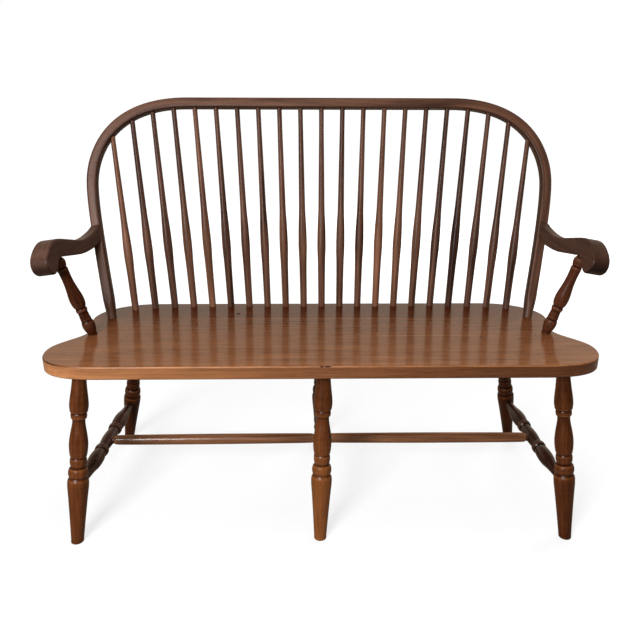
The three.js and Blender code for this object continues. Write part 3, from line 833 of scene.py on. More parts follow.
@dataclass(frozen=True)
class Profile:
    """A turned outline: shares of the length and of the largest radius."""

    stations: tuple[Pair, ...]
    wear_and_shading_gain: float = 14.0

    def radius(self, share: float) -> float:
        """Radius share at a length share, on a smooth curve that never overshoots its stations.

        Args:
            share: Place along the length.

        Returns:
            Share of the largest radius.
        """
        rows = self.stations
        if share <= rows[0][0]:
            return rows[0][1]
        if share >= rows[-1][0]:
            return rows[-1][1]
        k = max(i for i in range(len(rows) - 1) if rows[i][0] <= share)
        run = rows[k + 1][0] - rows[k][0]
        t = (share - rows[k][0]) / run
        low, high = self._slope(k) * run, self._slope(k + 1) * run
        rise = rows[k + 1][1] - rows[k][1]
        return rows[k][1] + t * low + t * t * (3 * rise - 2 * low - high) + t ** 3 * (low + high - 2 * rise)

    def _slope(self, k: int) -> float:
        """Slope at a station: none at an end or a turning point, else the harmonic mean.

        Args:
            k: Number of the station.

        Returns:
            The slope.
        """
        rows = self.stations
        if k in (0, len(rows) - 1):
            return 0.0
        before = (rows[k][1] - rows[k - 1][1]) / (rows[k][0] - rows[k - 1][0])
        after = (rows[k + 1][1] - rows[k][1]) / (rows[k + 1][0] - rows[k][0])
        if before * after <= 0:
            return 0.0
        return 2 * before * after / (before + after)

    def rings(self, length: float, radius: float, step: float) -> list[Pair]:
        """Sections close enough to draw the outline.

        Args:
            length: Length in millimetres.
            radius: Largest radius in millimetres.
            step: Largest gap between sections in millimetres.

        Returns:
            Height and radius of each section.
        """
        rows = [self.stations[0][0]]
        for (low, _), (high, _) in zip(self.stations, self.stations[1:]):
            parts = max(2, math.ceil((high - low) * length / step))
            rows += [low + (high - low) * k / parts for k in range(1, parts + 1)]
        return [(share * length, self.radius(share) * radius) for share in rows]

    def wear_and_shading(self, share: float, reach: float) -> float:
        """How proud a place is of its neighbours: above 0 on a bead, below 0 in a groove."""
        around = (self.radius(share - reach) + self.radius(share + reach)) / 2
        return clamp((self.radius(share) - around) * self.wear_and_shading_gain, -1.0)


def mirrored(half: Sequence[Pair]) -> tuple[Pair, ...]:
    """A half outline, run back to the far end as its mirror."""
    return tuple(half) + tuple((1 - place, size) for place, size in reversed(half[:-1]))


# Sub-assemblies


@dataclass(kw_only=True)
class SubAssembly:
    """What every group of pieces shares: grain, finish and the way into the frame."""

    grain_start: Triple = (0.0, 0.0, 0.0)
    grain_step: Triple = (0.0, 0.0, 0.0)
    grain_axes: str = "xyz"
    materials: dict[str, bpy.types.Material] = field(default_factory=dict)

    def mark(self, piece: bpy.types.Object, number: int, tone: Callable[[Vector], float],
             wear_and_shading: Callable[[Vector], float] = lambda co: 0.0) -> None:
        """Write a piece's own stretch of grain, its tone, and its number for worn edges and painted light:
        above 0 for worn wood and painted highlights, below 0 for dirt, dark joints and painted shade.
        """
        shift = Vector(self.grain_start) + Vector(self.grain_step) * number
        Shop.mark(piece, grain=lambda co: getattr(co, self.grain_axes) + shift, wear_and_shading=wear_and_shading, tone=tone)

    def deliver(self, piece: bpy.types.Object, node: str, finish: WoodFinish) -> None:
        """Dress a piece, ride it on the bench and let it stand for its node.

        Args:
            piece: The finished piece, with its place in its mesh.
            node: The node that it replaces.
            finish: Its finish.
        """
        if finish.name not in self.materials:
            self.materials[finish.name] = finish.material()
        piece.data.materials.clear()
        piece.data.materials.append(self.materials[finish.name])
        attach(piece, "root")
        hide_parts(node)
        LOG.info("made %s for %s", piece.name, node)


@dataclass(frozen=True)
class Placing:
    """Where one turned piece goes, in metres, and how light it is at its foot and its top."""

    node: str
    foot: Vector
    top: Vector
    tones: Pair


@dataclass(kw_only=True)
class TurnedSet(SubAssembly):
    """Pieces turned to one pattern and set up in their places."""

    profile: Profile
    radius: float
    length: float
    sides: int
    finish: str
    seed: int
    tenon: float = 4.0
    step: float = 4.0
    cut_level: bool = False
    spare: float = 30.0
    floor_gap: float = 0.15
    foot_ease: float = 1.2
    wear_and_shading_reach: float = 3.5
    grain_step: Triple = (0.013, -0.009, 0.71)
    seed_step: Triple = (0.013, 0.0, 0.37)

    def build(self, placings: Sequence[Placing]) -> None:
        """Turn the pattern once and set a copy in each place.

        Args:
            placings: Where the copies go.
        """
        self.grain_start = tuple(self.seed * part for part in self.seed_step)
        rings = self.profile.rings(self.length, self.radius, self.step)
        below = self.spare if self.cut_level else self.tenon
        rings = [(-below, rings[0][1]), *rings, (self.length + self.tenon, rings[-1][1])]
        pattern = Shop.turn("pattern", rings, self.sides)
        top, reach = self.length * MM, self.wear_and_shading_reach / self.length
        for number, placing in enumerate(placings):
            piece = Shop.copy(pattern, f"{placing.node}_wood")
            low, high = placing.tones
            # The profile's number paints a highlight on the beads, and shade in the grooves, where stain also
            # gathers.
            self.mark(piece, number, lambda co: low + (high - low) * co.z / top,
                      lambda co: self.profile.wear_and_shading(co.z / top, reach))
            piece.data.transform(standing(placing.foot, placing.top, self.length))
            if self.cut_level:
                Shop.saw(piece, Vector((0, 0, self.floor_gap * MM)), -UP, ease=self.foot_ease)
                Shop.close(piece)
            self.deliver(piece, placing.node, FINISHES[self.finish])
        Shop.discard(pattern)


LEG_PROFILE = Profile((
    (0, 0.6), (0.064, 0.655), (0.128, 0.727), (0.189, 0.8), (0.25, 0.876), (0.3, 0.946), (0.334, 0.992),
    (0.358, 1), (0.375, 0.967), (0.386, 0.868), (0.3925, 0.838), (0.4, 0.893), (0.415, 0.934),
    (0.429, 0.917), (0.444, 0.838), (0.451, 0.7), (0.459, 0.727), (0.478, 0.785), (0.498, 0.775),
    (0.508, 0.71), (0.515, 0.765), (0.545, 0.847), (0.584, 0.88), (0.623, 0.826), (0.662, 0.728),
    (0.694, 0.632), (0.719, 0.59), (0.731, 0.605), (0.7385, 0.715), (0.751, 0.75), (0.763, 0.742),
    (0.768, 0.71), (0.775, 0.802), (0.812, 0.88), (0.8415, 0.851), (0.898, 0.74), (0.9445, 0.665),
    (0.981, 0.628), (1, 0.615),
))
SPINDLE_PROFILE = Profile((
    (0, 0.779), (0.081, 0.805), (0.184, 0.85), (0.237, 0.894), (0.28, 0.965), (0.314, 1), (0.35, 0.985),
    (0.39, 0.948), (0.44, 0.865), (0.49, 0.757), (0.54, 0.71), (0.643, 0.66), (0.79, 0.6), (0.91, 0.549),
    (1, 0.549),
))
CROSS_PROFILE = Profile(mirrored((
    (0, 0.478), (0.013, 0.478), (0.03, 0.51), (0.061, 0.58), (0.095, 0.64), (0.129, 0.713),
    (0.1625, 0.826), (0.196, 0.944), (0.24, 1), (0.264, 0.992), (0.2975, 0.933), (0.322, 0.86),
    (0.331, 0.8), (0.336, 0.787), (0.34, 0.9), (0.346, 0.965), (0.356, 0.985), (0.368, 0.97),
    (0.378, 0.91), (0.384, 0.764), (0.401, 0.77), (0.45, 0.85), (0.5, 0.9),
)))
ROD_PROFILE = Profile(mirrored((
    (0, 0.706), (0.008, 0.706), (0.013, 0.83), (0.028, 0.91), (0.115, 0.95), (0.5, 1),
)))
POST_PROFILE = Profile((
    (0, 0.607), (0.02, 0.62), (0.04, 0.7), (0.065, 0.79), (0.085, 0.845), (0.105, 0.89), (0.125, 0.905),
    (0.145, 0.888), (0.165, 0.835), (0.178, 0.765), (0.185, 0.722), (0.19, 0.745), (0.2, 0.758),
    (0.245, 0.715), (0.29, 0.69), (0.303, 0.7), (0.31, 0.774), (0.322, 0.81), (0.334, 0.812),
    (0.345, 0.77), (0.352, 0.71), (0.357, 0.715), (0.363, 0.79), (0.37, 0.83), (0.39, 0.91),
    (0.41, 0.964), (0.435, 0.99), (0.46, 1), (0.49, 0.985), (0.52, 0.945), (0.585, 0.838),
    (0.655, 0.742), (0.725, 0.698), (0.8, 0.71), (0.85, 0.748), (0.858, 0.72), (0.865, 0.643),
    (0.873, 0.7), (0.885, 0.755), (0.91, 0.83), (0.935, 0.86), (0.96, 0.8), (0.982, 0.63), (1, 0.595),
))


@dataclass(frozen=True)
class SeatPlan:
    """Sizes of the seat, in millimetres, and the curve handles of its outline, in shares of each run."""

    top: float = 430.0
    thickness: float = 31.0
    depth: float = 398.0
    half_length: float = 634.0
    widest: float = 88.0
    corner_run: float = 134.0
    waist_half: float = 565.0
    waist: float = 214.9
    lobe_half: float = 580.0
    lobe: float = 292.1
    rear_run: float = 150.0
    ease: float = 3.0
    glue_lines: Pair = (190.0, 292.1)
    corner_shares: Pair = (0.82, 0.5)
    side_shares: Pair = (0.45, 0.4)
    lobe_share: float = 0.4
    rear_shares: Pair = (0.55, 0.57)
    curve_steps: tuple[int, ...] = (26, 22, 12, 22)

    def outline(self) -> list[Pair]:
        """The seat's outline seen from above, anticlockwise from the front edge.

        Returns:
            Its corners in millimetres.
        """
        front = self.half_length - self.corner_run
        rear = self.lobe_half - self.rear_run
        back_run = self.waist - self.widest
        lobe_run = self.lobe - self.waist
        rear_run = self.depth - self.lobe
        curves = (
            ((front + self.corner_shares[0] * self.corner_run, 0),
             (self.half_length, self.corner_shares[1] * self.widest),
             (self.half_length, self.widest)),
            ((self.half_length, self.widest + self.side_shares[0] * back_run),
             (self.waist_half, self.waist - self.side_shares[1] * back_run),
             (self.waist_half, self.waist)),
            ((self.waist_half, self.waist + self.lobe_share * lobe_run),
             (self.lobe_half, self.lobe - self.lobe_share * lobe_run),
             (self.lobe_half, self.lobe)),
            ((self.lobe_half, self.lobe + self.rear_shares[0] * rear_run),
             (rear + self.rear_shares[1] * self.rear_run, self.depth),
             (rear, self.depth)),
        )
        half = [(front, 0.0)]
        for curve, steps in zip(curves, self.curve_steps):
            half += bezier(half[-1], *curve, steps)
        return half + [(-x, y) for x, y in reversed(half)]


@dataclass
class Seat(SubAssembly):
    """Three boards, glued edge to edge and sawn to one outline.

    Along the rims, tones and painted light go from the left end, at 0, to the right end, at 1.
    """

    plan: SeatPlan = SeatPlan()
    glue_gap: float = 0.05
    ease_steps: int = 4
    smooth_angle: float = 35.0
    # The rear board's lower tone and the top's darkening towards the back are painted shade under the
    # spindles and the bow.
    board_tones: Triple = (0.1, 0.15, -0.1)
    rear_shade: float = 1.85
    rear_power: float = 1.2
    rim_share: float = 0.9
    # The rim numbers paint light on the seat's rim: lightest at the left end and falling off to the right;
    # the lower half is lighter and the upper half darker.
    rim_light: float = 0.98
    rim_fall: float = 3.2
    rim_darkest: float = -1.15
    lower_rim: float = 0.35
    upper_rim: float = -0.12
    # The arris and bottom numbers paint a highlight along the seat's top edge and shade along its bottom
    # edge.
    arris_below: float = 0.2
    arris_dull_end: float = 0.035
    arris_start: float = 0.06
    arris_rise: float = 40.0
    arris_highlight: float = 1.6
    bottom_shade: float = -0.9
    grain_start: Triple = (0.0, 0.0, 0.4)
    grain_step: Triple = (0.11, 0.02, 1.7)
    grain_axes: str = "yzx"

    def build(self) -> None:
        """Saw the slab, split it at its glue lines and dress each board."""
        plan = self.plan
        slab = Shop.slab("slab", plan.outline(), plan.thickness, plan.ease, self.ease_steps)
        slab.data.transform(Matrix.Translation(DATUM.at(0, 0, plan.top - plan.thickness)))
        stops = (None, *plan.glue_lines, None)
        for number, word in enumerate(("front", "middle", "rear")):
            node, start, end = f"seat_board_{word}", stops[number], stops[number + 1]
            piece = Shop.copy(slab, f"{node}_wood")
            if start is not None:
                Shop.saw(piece, DATUM.at(0, start + self.glue_gap, 0), Vector((0, -1, 0)))
            if end is not None:
                Shop.saw(piece, DATUM.at(0, end - self.glue_gap, 0), Vector((0, 1, 0)))
            Shop.close(piece, self.smooth_angle)
            Shop.flatten_shading(piece)
            self.mark(piece, number, lambda co: self._tone(co, self.board_tones[number]), self._arris)
            self.deliver(piece, node, FINISHES["seat"])
        Shop.discard(slab)

    def _share(self, co: Vector) -> float:
        """How far a place lies from the left end towards the right."""
        return 0.5 + (co.x - DATUM.middle) / (2 * self.plan.half_length * MM)

    def _arris(self, co: Vector) -> float:
        """Marks of the rims: a painted highlight along the seat's top edge, fading to the right and dark at
        its far left end, and painted shade along its bottom edge.

        Args:
            co: A place on the seat, in metres.

        Returns:
            The mark: above 0 for the painted highlight, below 0 for the dark left end and the painted shade.
        """
        below = self.plan.top - co.z / MM
        rim = self.rim_share * self.plan.ease
        share = self._share(co)
        if self.arris_below < below < rim:
            if share < self.arris_dull_end:
                return -1.0
            # Painted highlight along the top edge, fading to the right.
            return min(self.arris_highlight - share, self.arris_rise * (share - self.arris_start))
        # Painted shade along the bottom edge.
        return self.bottom_shade if below > self.plan.thickness - rim else 0.0

    def _tone(self, co: Vector, board: float) -> float:
        """How light the finish is: painted shade darkens the top towards the back, and the rim carries a
        painted light that falls off from the left end to the right.

        Args:
            co: A place on the seat, in metres.
            board: Tone of the board.

        Returns:
            The tone.
        """
        plan = self.plan
        if co.z / MM > plan.top - self.rim_share * plan.ease:
            # Painted shade: the top darkens towards the back, under the spindles and the bow.
            back = (co.y - DATUM.front) / (plan.depth * MM)
            return board - self.rear_shade * back ** self.rear_power
        # Painted light on the rim, falling off from the left end to the right.
        share = self._share(co)
        low = self.lower_rim if co.z / MM < plan.top - plan.thickness / 2 else self.upper_rim
        return max(self.rim_darkest, self.rim_light - self.rim_fall * share) + low * (1 - share)


@dataclass(frozen=True)
class BowPlan:
    """Sizes of the bow, in millimetres: half spans, and rises up its leaning plane.

    The handles of its curves are shares of each curve's run.
    """

    lean: float = math.radians(21.9)
    foot_half: float = 535.0
    setback: float = 299.5
    flare_slope: float = 0.17
    widest_half: float = 584.0
    widest_rise: float = 347.0
    top_rise: float = 549.0
    straight_half: float = 340.0
    width: float = 25.4
    thickness: float = 27.7
    ease: float = 5.1
    foot_radius: float = 11.6
    foot_neck: float = 10.0
    foot_taper: float = 62.0
    foot_flare: float = 7.4
    tenon: float = 5.0
    seat_top: float = SeatPlan().top
    side_shares: Pair = (0.576, 0.84)
    corner_shares: Pair = (0.316, 0.853)
    corner_steps: int = 80
    top_steps: int = 20
    fine_steps: int = 200

    def place(self, across: float, rise: float, forward: float) -> Vector:
        """A point of the leaning plane, or before it.

        Args:
            across: Place to the right of the middle.
            rise: Place up the plane.
            forward: Distance in front of the plane.

        Returns:
            Its place in the frame, in metres.
        """
        sine, cosine = math.sin(self.lean), math.cos(self.lean)
        back = self.setback + rise * sine - forward * cosine
        return DATUM.at(across, back, self.seat_top + rise * cosine + forward * sine)

    def side(self, steps: int = 60) -> list[Pair]:
        """The right side's middle line, from the foot up to the widest place.

        Args:
            steps: Number of its parts.

        Returns:
            Its points: across and up the plane.
        """
        low, high = (share * self.widest_rise for share in self.side_shares)
        foot = (self.foot_half, 0.0)
        widest = (self.widest_half, self.widest_rise)
        handles = (self.foot_half + self.flare_slope * low, low), (self.widest_half, high)
        return [foot] + bezier(foot, *handles, widest, steps)

    def line(self) -> list[Pair]:
        """The whole middle line, from the left foot over the top to the right foot.

        Returns:
            Its points: across and up the plane.
        """
        run = self.widest_half - self.straight_half
        drop = self.top_rise - self.widest_rise
        half = self.side()
        half += bezier(half[-1], (self.widest_half, self.widest_rise + self.corner_shares[0] * drop),
                       (self.straight_half + self.corner_shares[1] * run, self.top_rise),
                       (self.straight_half, self.top_rise), self.corner_steps)
        half += [(self.straight_half * (1 - k / self.top_steps), self.top_rise)
                 for k in range(1, self.top_steps + 1)]
        return [(-x, y) for x, y in half] + half[-2::-1]

    def half_span(self, rise: float) -> float:
        """Half width of the middle line on its side.

        Args:
            rise: Place up the plane.

        Returns:
            The half width.
        """
        points = self.side(self.fine_steps)
        for (x0, y0), (x1, y1) in zip(points, points[1:]):
            if y0 <= rise <= y1:
                return x0 + (x1 - x0) * (rise - y0) / (y1 - y0)
        return self.widest_half


@dataclass
class Bow(SubAssembly):
    """A straight eased rail, bent round the back, with turned feet.

    Tones are by shares of its length, from the left foot over the top to the right foot.
    """

    plan: BowPlan = BowPlan()
    foot_step: float = 3.0
    foot_steps: int = 30
    run_start: float = 85.0
    run_steps: int = 150
    ease_steps: int = 4
    face_cuts: int = 7
    smooth_angle: float = 32.0
    grain_start: Triple = (0.31, 0.17, 2.3)
    tone: float = 0.1
    left_centre: float = 0.21
    left_ramp: Ramp = Ramp(0.17, 0.07)
    left_dark: float = 0.3
    # The right half and the inner face are darkened as painted shade, away from the light on the left and
    # turned from it.
    right_ramp: Ramp = Ramp(0.55, 0.7167)
    right_shade: float = 0.35
    inner_ramp: Ramp = Ramp(0.3833, 0.4667)
    inner_shade: float = 1.3

    def build(self) -> None:
        """Run the rail straight, then bend it."""
        plan = self.plan
        line = [Vector(point) for point in plan.line()]
        runs = [0.0]
        for before, after in zip(line, line[1:]):
            runs.append(runs[-1] + (after - before).length)
        total = runs[-1]
        near = [-plan.tenon + self.foot_step * k for k in range(self.foot_steps)]
        step = (total - 2 * self.run_start) / self.run_steps
        between_feet = [self.run_start + step * k for k in range(self.run_steps + 1)]
        rail = self._straight(sorted(near + between_feet + [total - value for value in near]))
        self.mark(rail, 0, lambda co: self._tone_and_shade(-co.x / (plan.width * MM), co.z / (total * MM)))
        for vertex in rail.data.vertices:
            vertex.co = self._bent(vertex.co / MM, line, runs)
        Shop.close(rail, self.smooth_angle)
        self.deliver(rail, "bow", FINISHES["bow"])

    def _tone_and_shade(self, inward: float, share: float) -> float:
        """Tone of the rail: darker up the left side, and painted shade on its inner face and over its right
        half.

        Args:
            inward: Place across the rail, from -0.5 outside to 0.5 inside.
            share: Place along it, from 0 to 1.

        Returns:
            The tone.
        """
        left = self.left_ramp.at(abs(share - self.left_centre)) * self.left_dark
        right = self.right_ramp.at(share) * self.right_shade
        # Painted shade on the inner face and over the right half.
        return self.tone - left - right - self.inner_ramp.at(inward) * self.inner_shade

    def _straight(self, stops: Sequence[float]) -> bpy.types.Object:
        """The rail before it is bent: X across its width, Y through its thickness, Z along it.

        Args:
            stops: Places of its sections along Z, in millimetres.

        Returns:
            The closed rail.
        """
        plan = self.plan
        Shop.clear()
        bpy.ops.mesh.primitive_plane_add(size=1, location=(0, 0, stops[0] * MM))
        rail = Shop.started("bow_wood", (plan.width * MM, plan.thickness * MM, 1))
        with Shop.edit(rail):
            bpy.ops.mesh.bevel(offset=plan.ease * MM, segments=self.ease_steps, affect="VERTICES")
            Shop.pick_edges(rail, lambda edge: edge.calc_length() > plan.width * MM / 2)
            bpy.ops.mesh.subdivide(number_cuts=self.face_cuts)
            bpy.ops.mesh.select_mode(type="VERT")
            bpy.ops.mesh.select_all(action="SELECT")
            for low, high in zip(stops, stops[1:]):
                Shop.extrude(high - low)
        return rail

    def _bent(self, co: Vector, line: Sequence[Vector], runs: Sequence[float]) -> Vector:
        """Where a point of the straight rail goes.

        Args:
            co: Its place in the straight rail, in millimetres.
            line: The bow's middle line.
            runs: Distance along that line at each of its points.

        Returns:
            Its place in the frame, in metres.
        """
        plan = self.plan
        total = runs[-1]
        along = clamp(co.z, 0.0, total)
        k = max(i for i in range(len(runs) - 1) if runs[i] <= along)
        share = (along - runs[k]) / (runs[k + 1] - runs[k])
        before, after = line[max(k - 1, 0)], line[min(k + 2, len(line) - 1)]
        heading = (line[k + 1] - line[k]).normalized()
        early = (line[k] - before).normalized() if k else heading
        late = (after - line[k + 1]).normalized() if k + 2 < len(line) else heading
        tangent = ((early + heading) * (1 - share) + (heading + late) * share).normalized()
        spot = line[k].lerp(line[k + 1], share) + tangent * (co.z - along)
        from_foot = min(co.z, total - co.z)
        reach = math.hypot(co.x, co.y)
        limit = plan.foot_radius + max(0.0, from_foot - plan.foot_neck) * plan.foot_flare / plan.foot_taper
        if from_foot < plan.foot_taper + plan.foot_neck and reach > limit:
            co = Vector((co.x * limit / reach, co.y * limit / reach, co.z))
        spot += Vector((-tangent.y, tangent.x)) * co.x
        return plan.place(spot.x, spot.y, co.y)


@dataclass(frozen=True)
class ArmPlace:
    """What differs from arm to arm: its side, sizes in millimetres, angles in radians, and tones."""

    word: str
    side: int
    rise: float
    droop: float
    cant: float
    post_inset: float
    post_across: float
    tone: float
    post_tones: Pair


@dataclass(frozen=True)
class ArmPlan:
    """Sizes of an arm, in millimetres, and its sawn outline in shares of length and height."""

    outward: float = math.radians(10.0)
    length: float = 264.0
    height: float = 70.0
    front_width: float = 44.0
    rear_width: float = 23.0
    taper: float = 170.0
    ease: float = 4.5
    inner_offset: float = 9.0
    bow_gap: float = 0.2
    post_along: float = 0.722
    post_down: float = -0.105
    post_forward: float = 27.0
    left: ArmPlace = ArmPlace(
        "left", -1, rise=217.5, droop=math.radians(0.7), cant=math.radians(10), post_inset=12.7,
        post_across=19.3, tone=0.1, post_tones=(-0.4, 0.0),
    )
    right: ArmPlace = ArmPlace(
        "right", 1, rise=224.5, droop=math.radians(2.4), cant=math.radians(12), post_inset=17.3,
        post_across=16.7, tone=-0.3, post_tones=(0.1, 0.2),
    )
    outline_shares: tuple[Pair, ...] = (
        (-0.06, 0.3), (0.0095, 0.221), (0.089, 0.139), (0.208, 0.066), (0.318, 0.067), (0.432, 0.164),
        (0.519, 0.269), (0.597, 0.367), (0.6875, 0.474), (0.754, 0.526), (0.818, 0.51), (0.893, 0.399),
        (0.965, 0.197), (1, -0.043), (0.989, -0.3), (0.936, -0.467), (0.89, -0.457), (0.856, -0.357),
        (0.824, -0.193), (0.756, -0.071), (0.667, -0.14), (0.523, -0.281), (0.413, -0.371),
        (0.297, -0.411), (0.158, -0.4), (0.011, -0.3), (-0.06, -0.24),
    )

    def outline(self, steps: int = 7) -> list[Pair]:
        """The sawn outline, smooth through its points.

        Args:
            steps: Parts of the curve between two points.

        Returns:
            Its corners in millimetres.
        """
        points = [Vector((u * self.length, v * self.height)) for u, v in self.outline_shares]
        path = [points[0], *points, points[-1]]
        drawn = [points[0]]
        for k in range(1, len(path) - 2):
            a, b, c, d = path[k - 1:k + 3]
            for step in range(1, steps + 1):
                t = step / steps
                drawn.append(0.5 * (2 * b + (c - a) * t + (2 * a - 5 * b + 4 * c - d) * t * t
                                    + (3 * b - a - 3 * c + d) * t ** 3))
        return [(point.x, point.y) for point in reversed(drawn)]


@dataclass
class Arms(SubAssembly):
    """Two scroll arms, butted on the bow's front, and the posts beneath them."""

    plan: ArmPlan = ArmPlan()
    bow: BowPlan = BowPlan()
    seat: SeatPlan = SeatPlan()
    ease_steps: int = 5
    taper_cuts: int = 20
    smooth_angle: float = 35.0
    skin: float = 0.4
    post_radius: float = 16.8
    post_length: float = 203.0
    post_tenon: float = 6.0
    # The scroll numbers paint shade under the scroll and a highlight over its top, besides the end grain's
    # darker stain.
    scroll_shade: float = 1.7
    scroll_ramp: Ramp = Ramp(0.8, 1.0)
    scroll_middle: float = 0.35
    scroll_fall: float = 2.6
    scroll_top_highlight: float = -0.3
    grain_start: Triple = (0.21, 0.05, 0.0)
    grain_step: Triple = (0.4, 0.0, 0.9)
    grain_axes: str = "zyx"

    def frame(self, place: ArmPlace) -> Matrix:
        """An arm's own frame: X forward along it, Y up its canted side, Z across, in metres.

        Args:
            place: What is particular to the arm.

        Returns:
            The matrix from that frame into the bench's.
        """
        plan, side = self.plan, place.side
        level = Vector((side * math.sin(plan.outward), -math.cos(plan.outward), 0))
        outward = Vector((side * math.cos(plan.outward), math.sin(plan.outward), 0))
        canted = UP * math.cos(place.cant) + outward * math.sin(place.cant)
        across = level.cross(canted)
        droop = Matrix.Rotation(-place.droop, 3, across)
        span = self.bow.half_span(place.rise) - plan.inner_offset
        origin = self.bow.place(side * span, place.rise, self.bow.thickness / 2)
        turn = Matrix((droop @ level, droop @ canted, across)).transposed().to_4x4()
        return Matrix.Translation(origin) @ turn

    def build(self) -> None:
        """Saw, ease, taper and fit each arm, then turn the posts."""
        places = (self.plan.left, self.plan.right)
        for number, place in enumerate(places):
            self._arm(place, number)
        posts = TurnedSet(profile=POST_PROFILE, radius=self.post_radius, length=self.post_length,
                          tenon=self.post_tenon, sides=36, step=3.0, finish="arm_posts", seed=41)
        posts.build([self._post(place) for place in places])

    def _arm(self, place: ArmPlace, number: int) -> None:
        """Make one arm.

        Args:
            place: What is particular to it.
            number: Its number, for its own stretch of grain.
        """
        plan, node = self.plan, f"arm_{place.word}"
        piece = Shop.slab(f"{node}_wood", plan.outline(), plan.front_width, plan.ease, self.ease_steps)
        Shop.score(piece, plan.taper, self.taper_cuts)
        self.mark(piece, number, lambda co: self._tone_and_shade(co, place.tone))
        for vertex in piece.data.vertices:
            vertex.co.z = self._tapered(vertex.co, place.side)
        piece.data.transform(self.frame(place))
        backward = self.bow.place(0, 0, 0) - self.bow.place(0, 0, 1)
        Shop.saw(piece, self.bow.place(0, 0, self.bow.thickness / 2 + plan.bow_gap), backward)
        Shop.close(piece, self.smooth_angle)
        Shop.flatten_shading(piece)
        self.deliver(piece, node, FINISHES["arms"])

    def _tone_and_shade(self, co: Vector, tone: float) -> float:
        """Tone of an arm: darker round the underside of its scroll, partly where the end grain drank more
        stain and partly as painted shade, and lighter over the scroll's top as a painted highlight.

        Args:
            co: A place on the arm before it is tapered, in metres.
            tone: Tone of its two flat sides.

        Returns:
            The tone there.
        """
        plan, skin = self.plan, self.skin * MM
        if not skin < co.z < plan.front_width * MM - skin:
            return tone
        # Painted shade low on the scroll, painted highlight at its top.
        down = clamp(self.scroll_middle - self.scroll_fall * co.y / (plan.height * MM), self.scroll_top_highlight)
        return tone - self.scroll_shade * self.scroll_ramp.at(co.x / (plan.length * MM)) * down

    def _tapered(self, co: Vector, side: int) -> float:
        """Height across the arm once its outer face draws in towards the bow.

        Args:
            co: A place on the arm, in metres.
            side: -1 for the left arm, 1 for the right one.

        Returns:
            The new height.
        """
        plan = self.plan
        share = clamp(co.x / (plan.taper * MM))
        grown = share * share * (3 - 2 * share)
        width = plan.rear_width / plan.front_width * (1 - grown) + grown
        return (co.z if side < 0 else co.z - plan.front_width * MM) * width

    def _post(self, place: ArmPlace) -> Placing:
        """Where the post of one arm stands.

        Args:
            place: What is particular to the arm.

        Returns:
            The post's placing.
        """
        plan, seat = self.plan, self.seat
        out = place.side * (seat.waist_half - place.post_inset)
        foot = DATUM.at(out, seat.waist - plan.post_forward, seat.top)
        across = -place.side * place.post_across
        top = Vector((plan.post_along * plan.length, plan.post_down * plan.height, across))
        return Placing(f"arm_post_{place.word}", foot, self.frame(place) @ (top * MM), place.post_tones)


@dataclass
class Fastenings(SubAssembly):
    """The domed plugs in the bow's back, and the screws beneath them.

    The dome is given from its rim inwards: how far below the top, and how far inside the radius.
    """

    bow: BowPlan = BowPlan()
    arms: ArmPlan = ArmPlan()
    below_arm: float = 10.5
    radius: float = 5.0
    sides: int = 32
    dome: tuple[Pair, ...] = ((6.0, 0.3), (5.4, 0.0), (0.6, 0.0), (0.25, 0.25), (0.08, 1.2), (0.0, 3.0))
    rim: float = 4.6
    rim_wear: float = -0.4
    tone: float = -0.2
    grain_start: Triple = (0.6, 0.2, 0.0)
    grain_step: Triple = (0.0, 0.0, 1.0)
    grain_axes: str = "zyx"

    def build(self) -> None:
        """Turn the plugs and give the screws their steel."""
        rings = [(-below, self.radius - inside) for below, inside in self.dome]
        steel = SteelFinish().material()
        for place in (self.arms.left, self.arms.right):
            word, rise = place.word, place.rise - self.below_arm
            span = place.side * self.bow.half_span(rise)
            back = self.bow.place(span, rise, -self.bow.thickness / 2)
            outward = back - self.bow.place(span, rise, self.bow.thickness / 2)
            piece = Shop.turn(f"screw_plug_{word}_wood", rings, self.sides)
            self.mark(piece, place.side, lambda co: self.tone,
                      lambda co: self.rim_wear if math.hypot(co.x, co.y) > self.rim * MM else 0.0)
            piece.data.transform(standing(back, back + outward, outward.length / MM))
            self.deliver(piece, f"screw_plug_{word}", FINISHES["plugs"])
            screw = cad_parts[f"arm_screw_{word}"]
            screw.data.materials.clear()
            screw.data.materials.append(steel)
            LOG.info("dressed arm_screw_%s", word)


@dataclass(frozen=True)
class LegPlace:
    """Where one leg meets the seat and the floor, in millimetres, and its tones at foot and top."""

    node: str
    top: Pair
    foot: Pair
    radius: float
    inward: float
    tones: Pair


